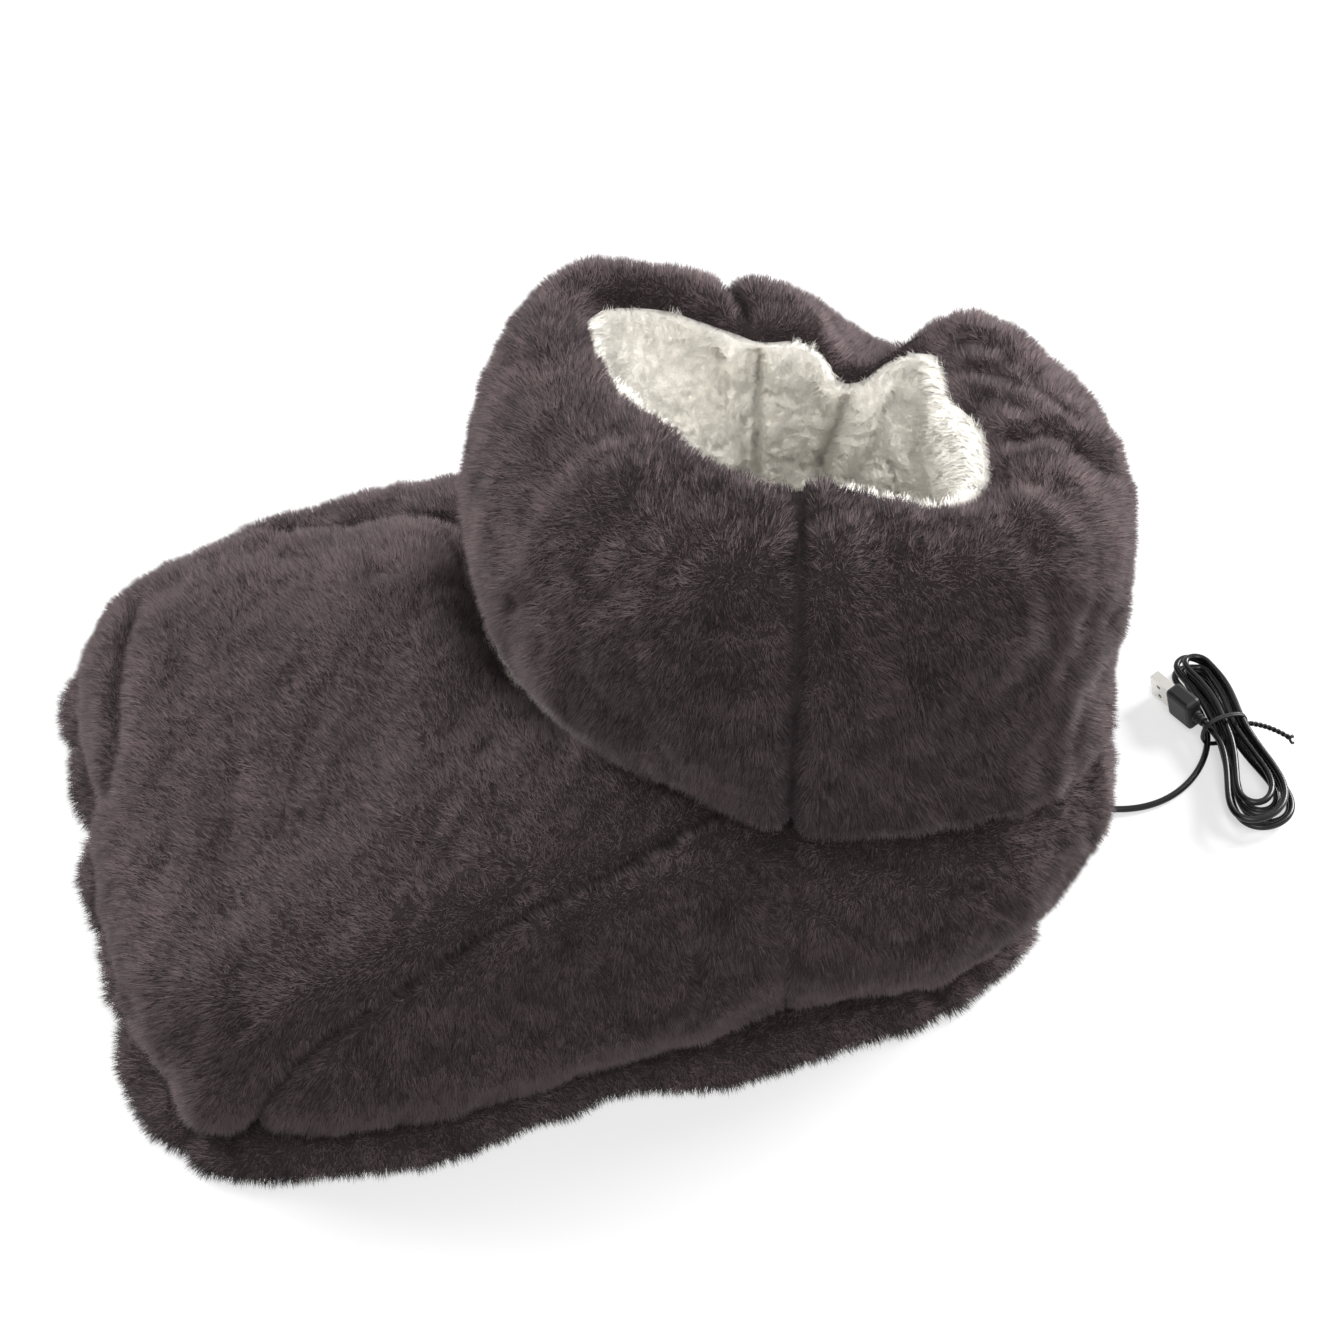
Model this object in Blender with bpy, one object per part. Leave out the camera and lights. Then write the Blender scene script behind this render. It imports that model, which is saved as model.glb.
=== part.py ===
"""Heated foot warmer: one wide plush boot for both feet, with a heating pad in its sole and a USB lead.

Lengths are in metres and +Z is up. The toe points along -Y, and the wearer's left side is +X.
The boot is sewn from three layers: plush outside, wadding, and a fleece lining inside.
"""

import math

import bmesh
import bpy
import numpy as np
from mathutils import Matrix, Vector

# Boot in plan, where the upper meets the sole: a core outline grown by a round margin
UPPER_HALF_WIDTH = 0.139
MIDDLE_X = 0.003
UPPER_TOE_Y = -0.185
WAIST_Y = 0.020
UPPER_HEEL_Y = 0.169
CORNER_MARGIN = 0.034
TOE_POWER = 9.0
HEEL_POWER = 6.0
OUTLINE_SAMPLES = 1440

# Thicknesses and seats
GAP = 0.0003
SEAT_GAP = 0.0004
OUTSOLE_THICKNESS = 0.0016
OUTSOLE_INSET = 0.002
FOAM_THICKNESS = 0.0054
PLUSH_THICKNESS = 0.007
WADDING_THICKNESS = 0.007
LINING_THICKNESS = 0.006
SEAM_GAP = 0.0005

# Plush strip round the sole
FLANGE_WIDTH = 0.011
FLANGE_TUCK = 0.012
FLANGE_NOSE_HEIGHT = 0.0038
FLANGE_CROWN_HEIGHT = 0.0076
FLANGE_CROWN_INSET = 0.0055
FLANGE_NOSE_INSET = 0.0018
FLANGE_WAVE = 0.0018
FLANGE_WAVES = 11
FLANGE_SIDE_BULGE = 0.008
FLANGE_BULGE_SHARE = 0.305
FLANGE_BULGE_WIDTH_SHARE = 0.05
FLANGE_CORNER_BULGE = 0.007
FLANGE_CORNER_SHARE = 0.112
FLANGE_CORNER_WIDTH_SHARE = 0.035

# Upper
NECK_X = 0.032
NECK_Y = 0.082
NECK_HALF_WIDTH = 0.072
NECK_HALF_LENGTH = 0.070
NECK_POWER = 2.2
NECK_TURN = math.radians(25)
SEAT_HEIGHT = 0.114
SEAT_SLOPE_SHARE = -0.115
SEAT_TILT_SHARE = -0.03
TOE_BULGE = 0.003
SIDE_BULGE = 0.006
FAR_BULGE = 0.003
HEEL_BULGE = 0.031
PANEL_CROWN = 0.004
SEAM_DIP = 0.0015

# Rows up the wall of the upper, as shares of the height and of the way in to the neck
TOE_HEIGHT_SHARES = (0.0, 0.17, 0.33, 0.45, 0.54, 0.67, 0.80, 0.92, 1.0)
SIDE_HEIGHT_SHARES = (0.0, 0.18, 0.36, 0.54, 0.69, 0.82, 0.91, 0.975, 1.0)
FAR_HEIGHT_SHARES = (0.0, 0.16, 0.31, 0.43, 0.52, 0.61, 0.71, 0.86, 1.0)
TOE_IN_SHARES = (0.0, -0.01, 0.0, 0.035, 0.11, 0.30, 0.53, 0.77, 1.0)
NEAR_IN_SHARES = (0.0, 0.0, 0.0, 0.01, 0.05, 0.14, 0.30, 0.60, 1.0)
FAR_IN_SHARES = (0.0, 0.0, 0.01, 0.04, 0.12, 0.27, 0.48, 0.76, 1.0)
BULGE_SHARES = (0.0, 0.55, 0.85, 1.0, 0.95, 0.72, 0.42, 0.12, 0.0)
WALL_ROWS = len(BULGE_SHARES) - 1
NORMAL_PASSES = 2

# Seams, as shares of the way round from the middle of the toe, one for each row
VAMP_SEAM_SHARES = (0.116, 0.122, 0.131, 0.143, 0.158, 0.183, 0.220, 0.252, 0.267)
SIDE_SEAM_SHARES = (0.298, 0.298, 0.298, 0.298, 0.298, 0.297, 0.293, 0.286, 0.279)
HEEL_SEAM_SHARE = 0.5
VAMP_CELLS = 14
SIDE_CELLS = 6
HEEL_CELLS = 8

# Cuff: radii from the neck's middle and heights of its top, one for every 30 degrees from +X
CUFF_HALF_WIDTH = 0.118
CUFF_HALF_LENGTH = 0.121
CUFF_POWER = 2.3
CUFF_FOOT_RADII = (0.121, 0.135, 0.131, 0.119, 0.112, 0.108, 0.106, 0.109, 0.108, 0.108, 0.112, 0.116)
CUFF_BELLY_SHARE = 0.36
RIM_IN_RADII = (0.047, 0.073, 0.066, 0.058, 0.070, 0.055, 0.056, 0.100, 0.062, 0.043, 0.047, 0.047)
RIM_OUT_RADII = (0.120, 0.132, 0.130, 0.113, 0.106, 0.094, 0.105, 0.128, 0.124, 0.118, 0.120, 0.121)
RIM_HEIGHTS = (0.236, 0.234, 0.228, 0.219, 0.214, 0.213, 0.214, 0.217, 0.223, 0.229, 0.234, 0.236)
NOTCH_DEPTH = 0.020
NOTCH_OUT_PULL = 0.022
NOTCH_IN_PULL = 0.011
NOTCH_ANGLE = math.radians(137)
NOTCH_WIDTH = math.radians(12)
NECK_CLEARANCE = 0.0012
FRONT_STATIONS = 16
BACK_STATIONS = 22
NEAR_CUFF_SEAM = math.radians(-19)
CUFF_FOOT_SHARE = 0.1
CUFF_OUT_SHARES = (0.0, 0.45, 0.82, 0.97, 1.00, 0.99, 0.93, 0.78, 0.52, 0.24, 0.05)
CUFF_OUT_HEIGHT_SHARES = (0.0, 0.0, 0.0, 0.07, 0.30, 0.56, 0.76, 0.92, 1.0, 0.975, 0.90)
CUFF_IN_SHARES = (0.0, 0.0, 0.0, 0.0)
CUFF_IN_HEIGHT_SHARES = (0.78, 0.58, 0.38, 0.22)

# Heating pad
PAD_HALF_WIDTH = 0.094
PAD_TOE_Y = -0.145
PAD_HEEL_Y = 0.118
PAD_CORNER = 0.030
PAD_CORNER_POINTS = 6
PAD_COVER_THICKNESS = 0.001
PAD_CENTRE_X = MIDDLE_X
WIRE_RADIUS = 0.0008
WIRE_RUNS = 6
WIRE_PITCH = 0.029
WIRE_EDGE = 0.012
WIRE_TURN_POINTS = 7
WIRE_FEED_INSET = 0.0055
CUTOFF_SIZE = (0.012, 0.005, 0.0016)
INSOLE_THICKNESS = 0.008
INSOLE_CHAMFER = 0.002
INSOLE_CLEARANCE = 0.0015

# Lead inside the sole
EXIT_SIDE_SHARE = 0.5036
LEAD_RADIUS = 0.0014
LEAD_HEIGHT = 0.0046
SLOT_HALF_WIDTH = 0.0055
SLEEVE_RADIUS = 0.0012
SLEEVE_LENGTH = 0.008
SLEEVE_SPREAD = 0.0026
CORE_RADIUS = 0.0006
CORE_SPREAD = 0.00076
CORE_LENGTH = 0.007
WIRE_DROP = 0.012
WIRE_LEVEL_SHARE = 0.75
WIRE_SLOPE_SHARE = 0.33
RELIEF_RADIUS = 0.0024
RELIEF_TIP_RADIUS = 0.0019
RELIEF_COLLAR_RADIUS = 0.0026
RELIEF_COLLAR_LENGTH = 0.003
RELIEF_INNER = 0.013
RELIEF_OUTER = 0.016
RELIEF_GROOVES = 3
RELIEF_GROOVE_DEPTH = 0.0005
RELIEF_CLEARANCE = 0.0019
RELIEF_SIDES = 16

# Free lead on the floor, from the strain relief to the tied hank: a hand-chosen route
LEAD_FLOOR = LEAD_RADIUS + 0.0001
LEAD_STEP = 0.0065
LEAD_ROUTE = (
    (0.0765, 0.2045),
    (0.0800, 0.2110),
    (0.0828, 0.2200),
    (0.0836, 0.2310),
    (0.0808, 0.2420),
    (0.0762, 0.2495),
)

# Hank of the spare lead
HANK_X = 0.0580
HANK_Y = 0.2750
HANK_LOOPS = 6
HANK_LAYERS = 4
HANK_LOOP_POINTS = 24
HANK_STEP = 0.0035
HANK_LAYER_STEP = 0.0034
HANK_WAIST_CLEAR = 0.0011
HANK_TOE_LENGTH = 0.0460
HANK_TOE_SHRINK = 0.0056
HANK_TOE_SPREAD = 0.0090
HANK_TOE_SPREAD_SHRINK = 0.0036
HANK_TOE_SHIFT = 0.0034
HANK_TIP_LEAN = 0.0030
HANK_HEEL_LENGTH = 0.0545
HANK_HEEL_SHRINK = 0.0080
HANK_HEEL_SPREAD = 0.0270
HANK_HEEL_SPREAD_SHRINK = 0.0075
HANK_HEEL_LEAN = 0.0060
HANK_FAN = 0.0100
HANK_LIFT = 0.0019
HANK_LIFT_REACH = 0.014
HANK_START_SHARE = -0.036
HANK_START_SWING = 0.190
HANK_END_SHARE = 0.030
HANK_END_BLEND_SHARE = 0.12
HANK_END_DROP = 0.0012
HANK_END_SHIFT = 0.0012

# Twist tie
TIE_RADIUS = 0.0006
TIE_CLEARANCE = 0.0011
TIE_SLACK = 0.0016
TIE_TAIL = 0.019
TIE_CORNER_SHARE = 2.4
TIE_ROOT_SHARE = 0.167
TIE_TAIL_RISE = 0.002
TIE_TURN = math.radians(24)
TIE_CORNER_POINTS = 4

# USB plug, standing on its narrow edge
SHELL_WIDTH = 0.012
SHELL_THICKNESS = 0.0045
SHELL_WALL = 0.0004
SHELL_LENGTH = 0.0115
SHELL_ROOT = 0.004
HOLE_SIZE = 0.0019
HOLE_OFFSET = 0.0029
HOLE_INSET = 0.0052
TONGUE_WIDTH = 0.0108
TONGUE_THICKNESS = 0.0018
TONGUE_RECESS = 0.0012
TONGUE_OFFSET = 0.0008
CONTACT_WIDTH = 0.001
CONTACT_THICKNESS = 0.0002
CONTACT_PITCH = 0.0022
CONTACT_LENGTH = 0.007
CONTACTS = 4
MOULD_LENGTH = 0.0145
MOULD_WIDTH = 0.0155
MOULD_THICKNESS = 0.008
MOULD_BEVEL = 0.0018
BOOT_RADIUS = 0.0026
BOOT_TIP_RADIUS = 0.0021
BOOT_LENGTH = 0.0052
BOOT_RIBS = 2
BOOT_GROOVE_DEPTH = 0.0005
PLUG_TIP = (0.0235, 0.2566)
PLUG_TURN = math.radians(196)
PLUG_PITCH = math.radians(-6)
PLUG_LEAN = math.radians(-12)
PLUG_FLOOR_CLEARANCE = 0.0003
OVERRUN = 0.002

# Derived sizes
EXIT_X = MIDDLE_X + UPPER_HALF_WIDTH * EXIT_SIDE_SHARE
OUTSOLE_TOP = OUTSOLE_THICKNESS
FOAM_BASE = OUTSOLE_TOP + GAP
FOAM_TOP = FOAM_BASE + FOAM_THICKNESS
WALL_BASE = FOAM_TOP + GAP
WALL_THICKNESS = PLUSH_THICKNESS + WADDING_THICKNESS + LINING_THICKNESS + 2 * GAP
COVER_LOW_TOP = WALL_BASE + PAD_COVER_THICKNESS
WIRE_HEIGHT = COVER_LOW_TOP + GAP + WIRE_RADIUS
COVER_HIGH_BASE = WIRE_HEIGHT + WIRE_RADIUS + GAP
INSOLE_BASE = COVER_HIGH_BASE + PAD_COVER_THICKNESS + GAP
FLANGE_SPLIT = 2 * (RELIEF_COLLAR_RADIUS + RELIEF_CLEARANCE)
FAR_CUFF_SEAM = NEAR_CUFF_SEAM + math.radians(197)

COLOURS = {
    "plush": ((0.085, 0.066, 0.068), 0.95, 0.0),
    "wadding": ((0.82, 0.82, 0.80), 0.95, 0.0),
    "fleece": ((0.78, 0.74, 0.66), 0.95, 0.0),
    "outsole": ((0.72, 0.69, 0.60), 0.9, 0.0),
    "foam": ((0.60, 0.60, 0.58), 0.9, 0.0),
    "felt": ((0.70, 0.70, 0.70), 0.9, 0.0),
    "heater": ((0.35, 0.08, 0.05), 0.5, 0.0),
    "black_pvc": ((0.012, 0.012, 0.013), 0.4, 0.0),
    "red_pvc": ((0.45, 0.02, 0.02), 0.4, 0.0),
    "white_plastic": ((0.75, 0.75, 0.73), 0.4, 0.0),
    "nickel": ((0.70, 0.69, 0.66), 0.25, 1.0),
    "brass": ((0.75, 0.55, 0.22), 0.3, 1.0),
}


def clear_scene():
    for item in list(bpy.context.scene.objects):
        bpy.data.objects.remove(item, do_unlink=True)


def material(kind):
    """One Principled material for each kind of surface."""
    found = bpy.data.materials.get(kind)
    if found:
        return found
    colour, roughness, metallic = COLOURS[kind]
    made = bpy.data.materials.new(kind)
    made.use_nodes = True
    shader = made.node_tree.nodes["Principled BSDF"]
    shader.inputs["Base Color"].default_value = (*colour, 1.0)
    shader.inputs["Roughness"].default_value = roughness
    shader.inputs["Metallic"].default_value = metallic
    made.diffuse_color = (*colour, 1.0)
    return made


def add_object(name, data, kind, frame):
    item = bpy.data.objects.new(name, data)
    bpy.context.scene.collection.objects.link(item)
    item.data.materials.append(material(kind))
    item.parent = frame
    return item


def mesh_object(name, points, faces, kind, frame, smooth=True):
    """A closed mesh from points and faces, with its faces turned outwards."""
    shape = bmesh.new()
    corners = [shape.verts.new(tuple(p)) for p in points]
    for face in faces:
        shape.faces.new([corners[i] for i in face])
    bmesh.ops.recalc_face_normals(shape, faces=shape.faces)
    if shape.calc_volume(signed=True) < 0:
        bmesh.ops.reverse_faces(shape, faces=shape.faces)
    data = bpy.data.meshes.new(name)
    shape.to_mesh(data)
    shape.free()
    if smooth:
        data.shade_smooth()
        data.set_sharp_from_angle(angle=math.radians(50))
    return add_object(name, data, kind, frame)


def tube(name, points, radius, kind, frame, sides=8, cyclic=False):
    """A round tube along a line of points, with filled ends."""
    data = bpy.data.curves.new(name, "CURVE")
    data.dimensions = "3D"
    data.bevel_depth = radius
    data.bevel_resolution = sides // 2 - 2
    data.use_fill_caps = not cyclic
    line = data.splines.new("POLY")
    line.points.add(len(points) - 1)
    for place, point in zip(line.points, points):
        place.co = (*point, 1.0)
    line.use_cyclic_u = cyclic
    return add_object(name, data, kind, frame)


def smooth_line(controls, step):
    """Points at an even step along a smooth curve through the control points."""
    controls = np.asarray(controls, float)
    ends = np.vstack([2 * controls[0] - controls[1], controls, 2 * controls[-1] - controls[-2]])
    dense = []
    for i in range(1, len(ends) - 2):
        a, b, c, d = ends[i - 1:i + 3]
        t = np.linspace(0, 1, 24, endpoint=False)[:, None]
        dense.append(
            0.5 * (2 * b + (c - a) * t + (2 * a - 5 * b + 4 * c - d) * t**2 + (3 * b - a - 3 * c + d) * t**3)
        )
    dense = np.vstack(dense + [controls[-1:]])
    along = np.concatenate([[0], np.cumsum(np.linalg.norm(np.diff(dense, axis=0), axis=1))])
    count = max(2, round(along[-1] / step) + 1)
    wanted = np.linspace(0, along[-1], count)
    return np.stack([np.interp(wanted, along, dense[:, k]) for k in range(3)], axis=1)


def signed_power(value, power):
    return np.sign(value) * np.abs(value) ** power


def superellipse(angle, half_x, half_y, power):
    x = half_x * signed_power(np.cos(angle), 2 / power)
    y = half_y * signed_power(np.sin(angle), 2 / power)
    return np.stack([x, y], axis=-1)


def dense_outline():
    """The upper's foot line in plan, from the middle of the toe round the left side."""
    angle = np.linspace(-math.pi / 2, 1.5 * math.pi, OUTLINE_SAMPLES + 1)
    half_width = UPPER_HALF_WIDTH - CORNER_MARGIN
    toe = superellipse(angle, half_width, WAIST_Y - UPPER_TOE_Y - CORNER_MARGIN, TOE_POWER)
    heel = superellipse(angle, half_width, UPPER_HEEL_Y - WAIST_Y - CORNER_MARGIN, HEEL_POWER)
    core = np.where(np.sin(angle)[:, None] < 0, toe, heel) + (MIDDLE_X, WAIST_Y)
    along = np.concatenate([[0], np.cumsum(np.linalg.norm(np.diff(core, axis=0), axis=1))])
    even = np.linspace(0, along[-1], OUTLINE_SAMPLES + 1)
    core = np.stack([np.interp(even, along, core[:, k]) for k in range(2)], axis=-1)
    way = np.roll(core[:-1], -1, axis=0) - np.roll(core[:-1], 1, axis=0)
    outwards = np.stack([way[:, 1], -way[:, 0]], axis=-1)
    outwards /= np.linalg.norm(outwards, axis=-1, keepdims=True)
    outwards = np.vstack([outwards, outwards[:1]])
    grown = core + outwards * CORNER_MARGIN
    along = np.concatenate([[0], np.cumsum(np.linalg.norm(np.diff(grown, axis=0), axis=1))])
    return grown, outwards, along / along[-1]


OUTLINE, OUTLINE_OUTWARDS, OUTLINE_SHARE = dense_outline()


def outline(u, inset=0.0):
    """Points on the upper's foot line at shares u of its length, moved inwards by an inset."""
    u = np.mod(np.asarray(u, float), 1.0)
    place = np.stack([np.interp(u, OUTLINE_SHARE, OUTLINE[:, k]) for k in range(2)], axis=-1)
    outwards = np.stack([np.interp(u, OUTLINE_SHARE, OUTLINE_OUTWARDS[:, k]) for k in range(2)], axis=-1)
    outwards /= np.linalg.norm(outwards, axis=-1, keepdims=True)
    inset = np.asarray(inset, float)
    return place - outwards * inset[..., None], outwards


def seat_height(x, y):
    """The slanting plane on which the cuff sits."""
    return SEAT_HEIGHT + SEAT_SLOPE_SHARE * (y - NECK_Y) + SEAT_TILT_SHARE * (x - NECK_X)


def neck_angle(u):
    """The direction from the neck's middle that goes with a share of the way round the sole."""
    return 2 * math.pi * u - math.pi / 2 - NECK_TURN * np.sin(2 * math.pi * u)


def wall_surface(u, row):
    """Outer surface of the upper at shares u, on one row, before the panels' crowns."""
    base, outwards = outline(u, np.zeros(np.shape(u)))
    neck = superellipse(neck_angle(u), NECK_HALF_WIDTH, NECK_HALF_LENGTH, NECK_POWER)
    neck = neck + (NECK_X, NECK_Y)
    toe = np.clip(np.cos(2 * math.pi * u), 0, None) ** 2
    heel = np.clip(-np.cos(2 * math.pi * u), 0, None) ** 2
    heel_swell = np.clip(-np.cos(2 * math.pi * u), 0, None)
    near = np.clip(np.sin(2 * math.pi * u), 0, None) ** 2
    far = np.clip(-np.sin(2 * math.pi * u), 0, None) ** 2
    inward = (
        toe * TOE_IN_SHARES[row]
        + (near + heel) * NEAR_IN_SHARES[row]
        + far * FAR_IN_SHARES[row]
    )
    rise = (
        toe * TOE_HEIGHT_SHARES[row]
        + (near + heel) * SIDE_HEIGHT_SHARES[row]
        + far * FAR_HEIGHT_SHARES[row]
    )
    bulge = toe * TOE_BULGE + heel_swell * HEEL_BULGE + near * SIDE_BULGE + far * FAR_BULGE
    plan = base + (neck - base) * inward[:, None] + outwards * (bulge * BULGE_SHARES[row])[:, None]
    top = seat_height(neck[:, 0], neck[:, 1])
    height = WALL_BASE + (top - WALL_BASE) * rise
    return np.column_stack([plan, height])


def panel_columns():
    """Shares round the upper for every column of every row, and the columns where panels meet."""
    rows = []
    for row in range(WALL_ROWS + 1):
        vamp = VAMP_SEAM_SHARES[row]
        side = SIDE_SEAM_SHARES[row]
        left = np.concatenate([
            np.linspace(-vamp, vamp, VAMP_CELLS + 1)[:-1],
            np.linspace(vamp, side, SIDE_CELLS + 1)[:-1],
            np.linspace(side, HEEL_SEAM_SHARE, HEEL_CELLS + 1)[:-1],
            np.linspace(HEEL_SEAM_SHARE, 1 - side, HEEL_CELLS + 1)[:-1],
            np.linspace(1 - side, 1 - vamp, SIDE_CELLS + 1)[:-1],
        ])
        rows.append(left)
    edges = np.cumsum([0, VAMP_CELLS, SIDE_CELLS, HEEL_CELLS, HEEL_CELLS, SIDE_CELLS])
    return np.array(rows).T, [int(e) for e in edges]


def grid_normals(grid, closed):
    """Unit normals of a grid of points, which may close on itself in its first direction."""
    if closed:
        across = np.roll(grid, -1, axis=0) - np.roll(grid, 1, axis=0)
    else:
        across = np.gradient(grid, axis=0)
    up = np.gradient(grid, axis=1)
    normal = np.cross(across, up)
    return normal / np.linalg.norm(normal, axis=2, keepdims=True)


def even_normals(grid):
    """Normals of a grid that closes on itself, evened out so that offset layers stay alike."""
    normal = grid_normals(grid, closed=True)
    for _ in range(NORMAL_PASSES):
        normal = normal + (np.roll(normal, 1, axis=0) + np.roll(normal, -1, axis=0)) / 2
        inner = normal[:, 1:-1] + (normal[:, :-2] + normal[:, 2:]) / 2
        normal[:, 1:-1] = inner
        normal /= np.linalg.norm(normal, axis=2, keepdims=True)
    return normal


def upper_grid():
    """The upper's outer surface, its normals and the panels' edge columns."""
    columns, edges = panel_columns()
    grid = np.stack([wall_surface(columns[:, r], r) for r in range(WALL_ROWS + 1)], axis=1)
    normal = grid_normals(grid, closed=True)
    rows = np.linspace(0, 1, WALL_ROWS + 1)
    swell = np.zeros(len(columns))
    for first, last in zip(edges[:-1], edges[1:]):
        share = np.linspace(0, 1, last - first + 1)[:-1]
        swell[first:last] = PANEL_CROWN * np.sin(math.pi * share) - SEAM_DIP
    grid = grid + normal * swell[:, None, None] * np.sin(math.pi * rows)[None, :, None]
    normal = even_normals(grid)
    normal[:, 0, 2] = 0
    normal[:, -1, :] = (0, 0, 1)
    normal /= np.linalg.norm(normal, axis=2, keepdims=True)
    return grid, normal, edges


def nudge(grid, first_cut, last_cut, axis):
    """Pulls a grid's first and last lines along the surface, so that neighbours keep a seam gap."""
    grid = np.moveaxis(grid.copy(), axis, 0)
    for edge, inner, cut in ((0, 1, first_cut), (-1, -2, last_cut)):
        if cut:
            way = grid[inner] - grid[edge]
            grid[edge] += way / np.linalg.norm(way, axis=-1, keepdims=True) * (SEAM_GAP / 2)
    return np.moveaxis(grid, 0, axis)


def shell_object(name, outer, inner, kind, frame):
    """A closed shell between an outer and an inner grid of the same size."""
    across, up = outer.shape[:2]
    points = np.vstack([outer.reshape(-1, 3), inner.reshape(-1, 3)])
    offset = across * up

    def at(i, j, side):
        return side * offset + i * up + j

    faces = []
    for i in range(across - 1):
        for j in range(up - 1):
            for side in (0, 1):
                a, b = at(i, j, side), at(i + 1, j, side)
                c, d = at(i + 1, j + 1, side), at(i, j + 1, side)
                faces += [(a, b, c), (a, c, d)]
    edge_steps = [((i, j), (i + 1, j)) for j in (0, up - 1) for i in range(across - 1)]
    edge_steps += [((i, j), (i, j + 1)) for i in (0, across - 1) for j in range(up - 1)]
    for (i, j), (k, m) in edge_steps:
        faces += [(at(i, j, 0), at(i, j, 1), at(k, m, 1)), (at(i, j, 0), at(k, m, 1), at(k, m, 0))]
    return mesh_object(name, points, faces, kind, frame)


def make_upper(frame):
    """Five panels, each in plush, wadding and lining."""
    grid, normal, edges = upper_grid()
    layers = (
        ("plush", "plush", 0.0, PLUSH_THICKNESS),
        ("wadding", "wadding", PLUSH_THICKNESS + GAP, WADDING_THICKNESS),
        ("lining", "fleece", PLUSH_THICKNESS + WADDING_THICKNESS + 2 * GAP, LINING_THICKNESS),
    )
    panels = ("vamp", "side_left", "heel_left", "heel_right", "side_right")
    count = len(grid)
    for index, panel in enumerate(panels):
        first = edges[index]
        last = edges[index + 1] if index + 1 < len(edges) else count
        chosen = [i % count for i in range(first, last + 1)]
        for layer, kind, depth, thickness in layers:
            outer = grid[chosen] - normal[chosen] * depth
            inner = grid[chosen] - normal[chosen] * (depth + thickness)
            outer = nudge(outer, True, True, 0)
            inner = nudge(inner, True, True, 0)
            shell_object(f"{panel}_{layer}", outer, inner, kind, frame)


def round_value(angle, values):
    """A smooth value round the neck, from values at even angles."""
    count = len(values)
    place = (angle / (2 * math.pi) * count) % count
    first = int(place)
    t = place - first
    a, b, c, d = (values[(first + k) % count] for k in (-1, 0, 1, 2))
    return 0.5 * (2 * b + (c - a) * t + (2 * a - 5 * b + 4 * c - d) * t**2 + (3 * b - a - 3 * c + d) * t**3)


def reach_of(angle, half_x, half_y, power):
    """Distance of a superellipse's edge from its middle in one direction."""
    x = abs(math.cos(angle)) / half_x
    y = abs(math.sin(angle)) / half_y
    return (x**power + y**power) ** (-1 / power)


def smooth_share(value):
    value = min(max(value, 0.0), 1.0)
    return value * value * (3 - 2 * value)


def notch(angle):
    away = math.remainder(angle - NOTCH_ANGLE, 2 * math.pi) / NOTCH_WIDTH
    return math.exp(-away**2)


def cuff_section(angle):
    """The cuff's section at one angle: points from its foot over the rim and down the neck."""
    belly = reach_of(angle, CUFF_HALF_WIDTH, CUFF_HALF_LENGTH, CUFF_POWER)
    foot_out = round_value(angle, CUFF_FOOT_RADII)
    foot_in = reach_of(angle, NECK_HALF_WIDTH, NECK_HALF_LENGTH, NECK_POWER)
    foot_in -= LINING_THICKNESS + NECK_CLEARANCE
    rim_in = round_value(angle, RIM_IN_RADII) - NOTCH_IN_PULL * notch(angle)
    rim_out = round_value(angle, RIM_OUT_RADII) - NOTCH_OUT_PULL * notch(angle)
    high = round_value(angle, RIM_HEIGHTS) - NOTCH_DEPTH * notch(angle)
    way = np.array([math.cos(angle), math.sin(angle)])

    def place(out_share, height_share, reach=None):
        blend = smooth_share((height_share - CUFF_FOOT_SHARE) / (1 - CUFF_FOOT_SHARE))
        inner = foot_in + (rim_in - foot_in) * blend
        low_blend = smooth_share(height_share / CUFF_BELLY_SHARE)
        high_blend = smooth_share((height_share - CUFF_BELLY_SHARE) / (1 - CUFF_BELLY_SHARE))
        outer = foot_out + (belly - foot_out) * low_blend + (rim_out - belly) * high_blend
        reach = inner + (outer - inner) * out_share if reach is None else reach
        x, y = way * reach + (NECK_X, NECK_Y)
        low = seat_height(x, y) + SEAT_GAP
        return np.array([x, y, low + (high - low) * height_share])

    first = place(0.0, 0.0, foot_in + LINING_THICKNESS + GAP)
    points = [first]
    points += [place(o, h) for o, h in zip(CUFF_OUT_SHARES[1:], CUFF_OUT_HEIGHT_SHARES[1:])]
    points += [place(o, h) for o, h in zip(CUFF_IN_SHARES, CUFF_IN_HEIGHT_SHARES)]
    foot = place(0.0, 0.0)
    points.append(np.array([foot[0], foot[1], first[2] + PLUSH_THICKNESS + GAP]))
    points.append(foot)
    points.append(foot - (0, 0, SEAT_GAP + WALL_THICKNESS))
    return np.array(points)


def cuff_grid():
    """The cuff's whole section path at every station, with normals that face out of the padding."""
    front = np.linspace(FAR_CUFF_SEAM - 2 * math.pi, NEAR_CUFF_SEAM, FRONT_STATIONS + 1)[:-1]
    back = np.linspace(NEAR_CUFF_SEAM, FAR_CUFF_SEAM, BACK_STATIONS + 1)[:-1]
    grid = np.array([cuff_section(angle) for angle in np.concatenate([front, back])])
    normal = even_normals(grid)
    normal[:, :2] = (0, 0, -1)
    normal[:, -3:, 2] = 0
    normal /= np.linalg.norm(normal, axis=2, keepdims=True)
    return grid, normal


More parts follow.
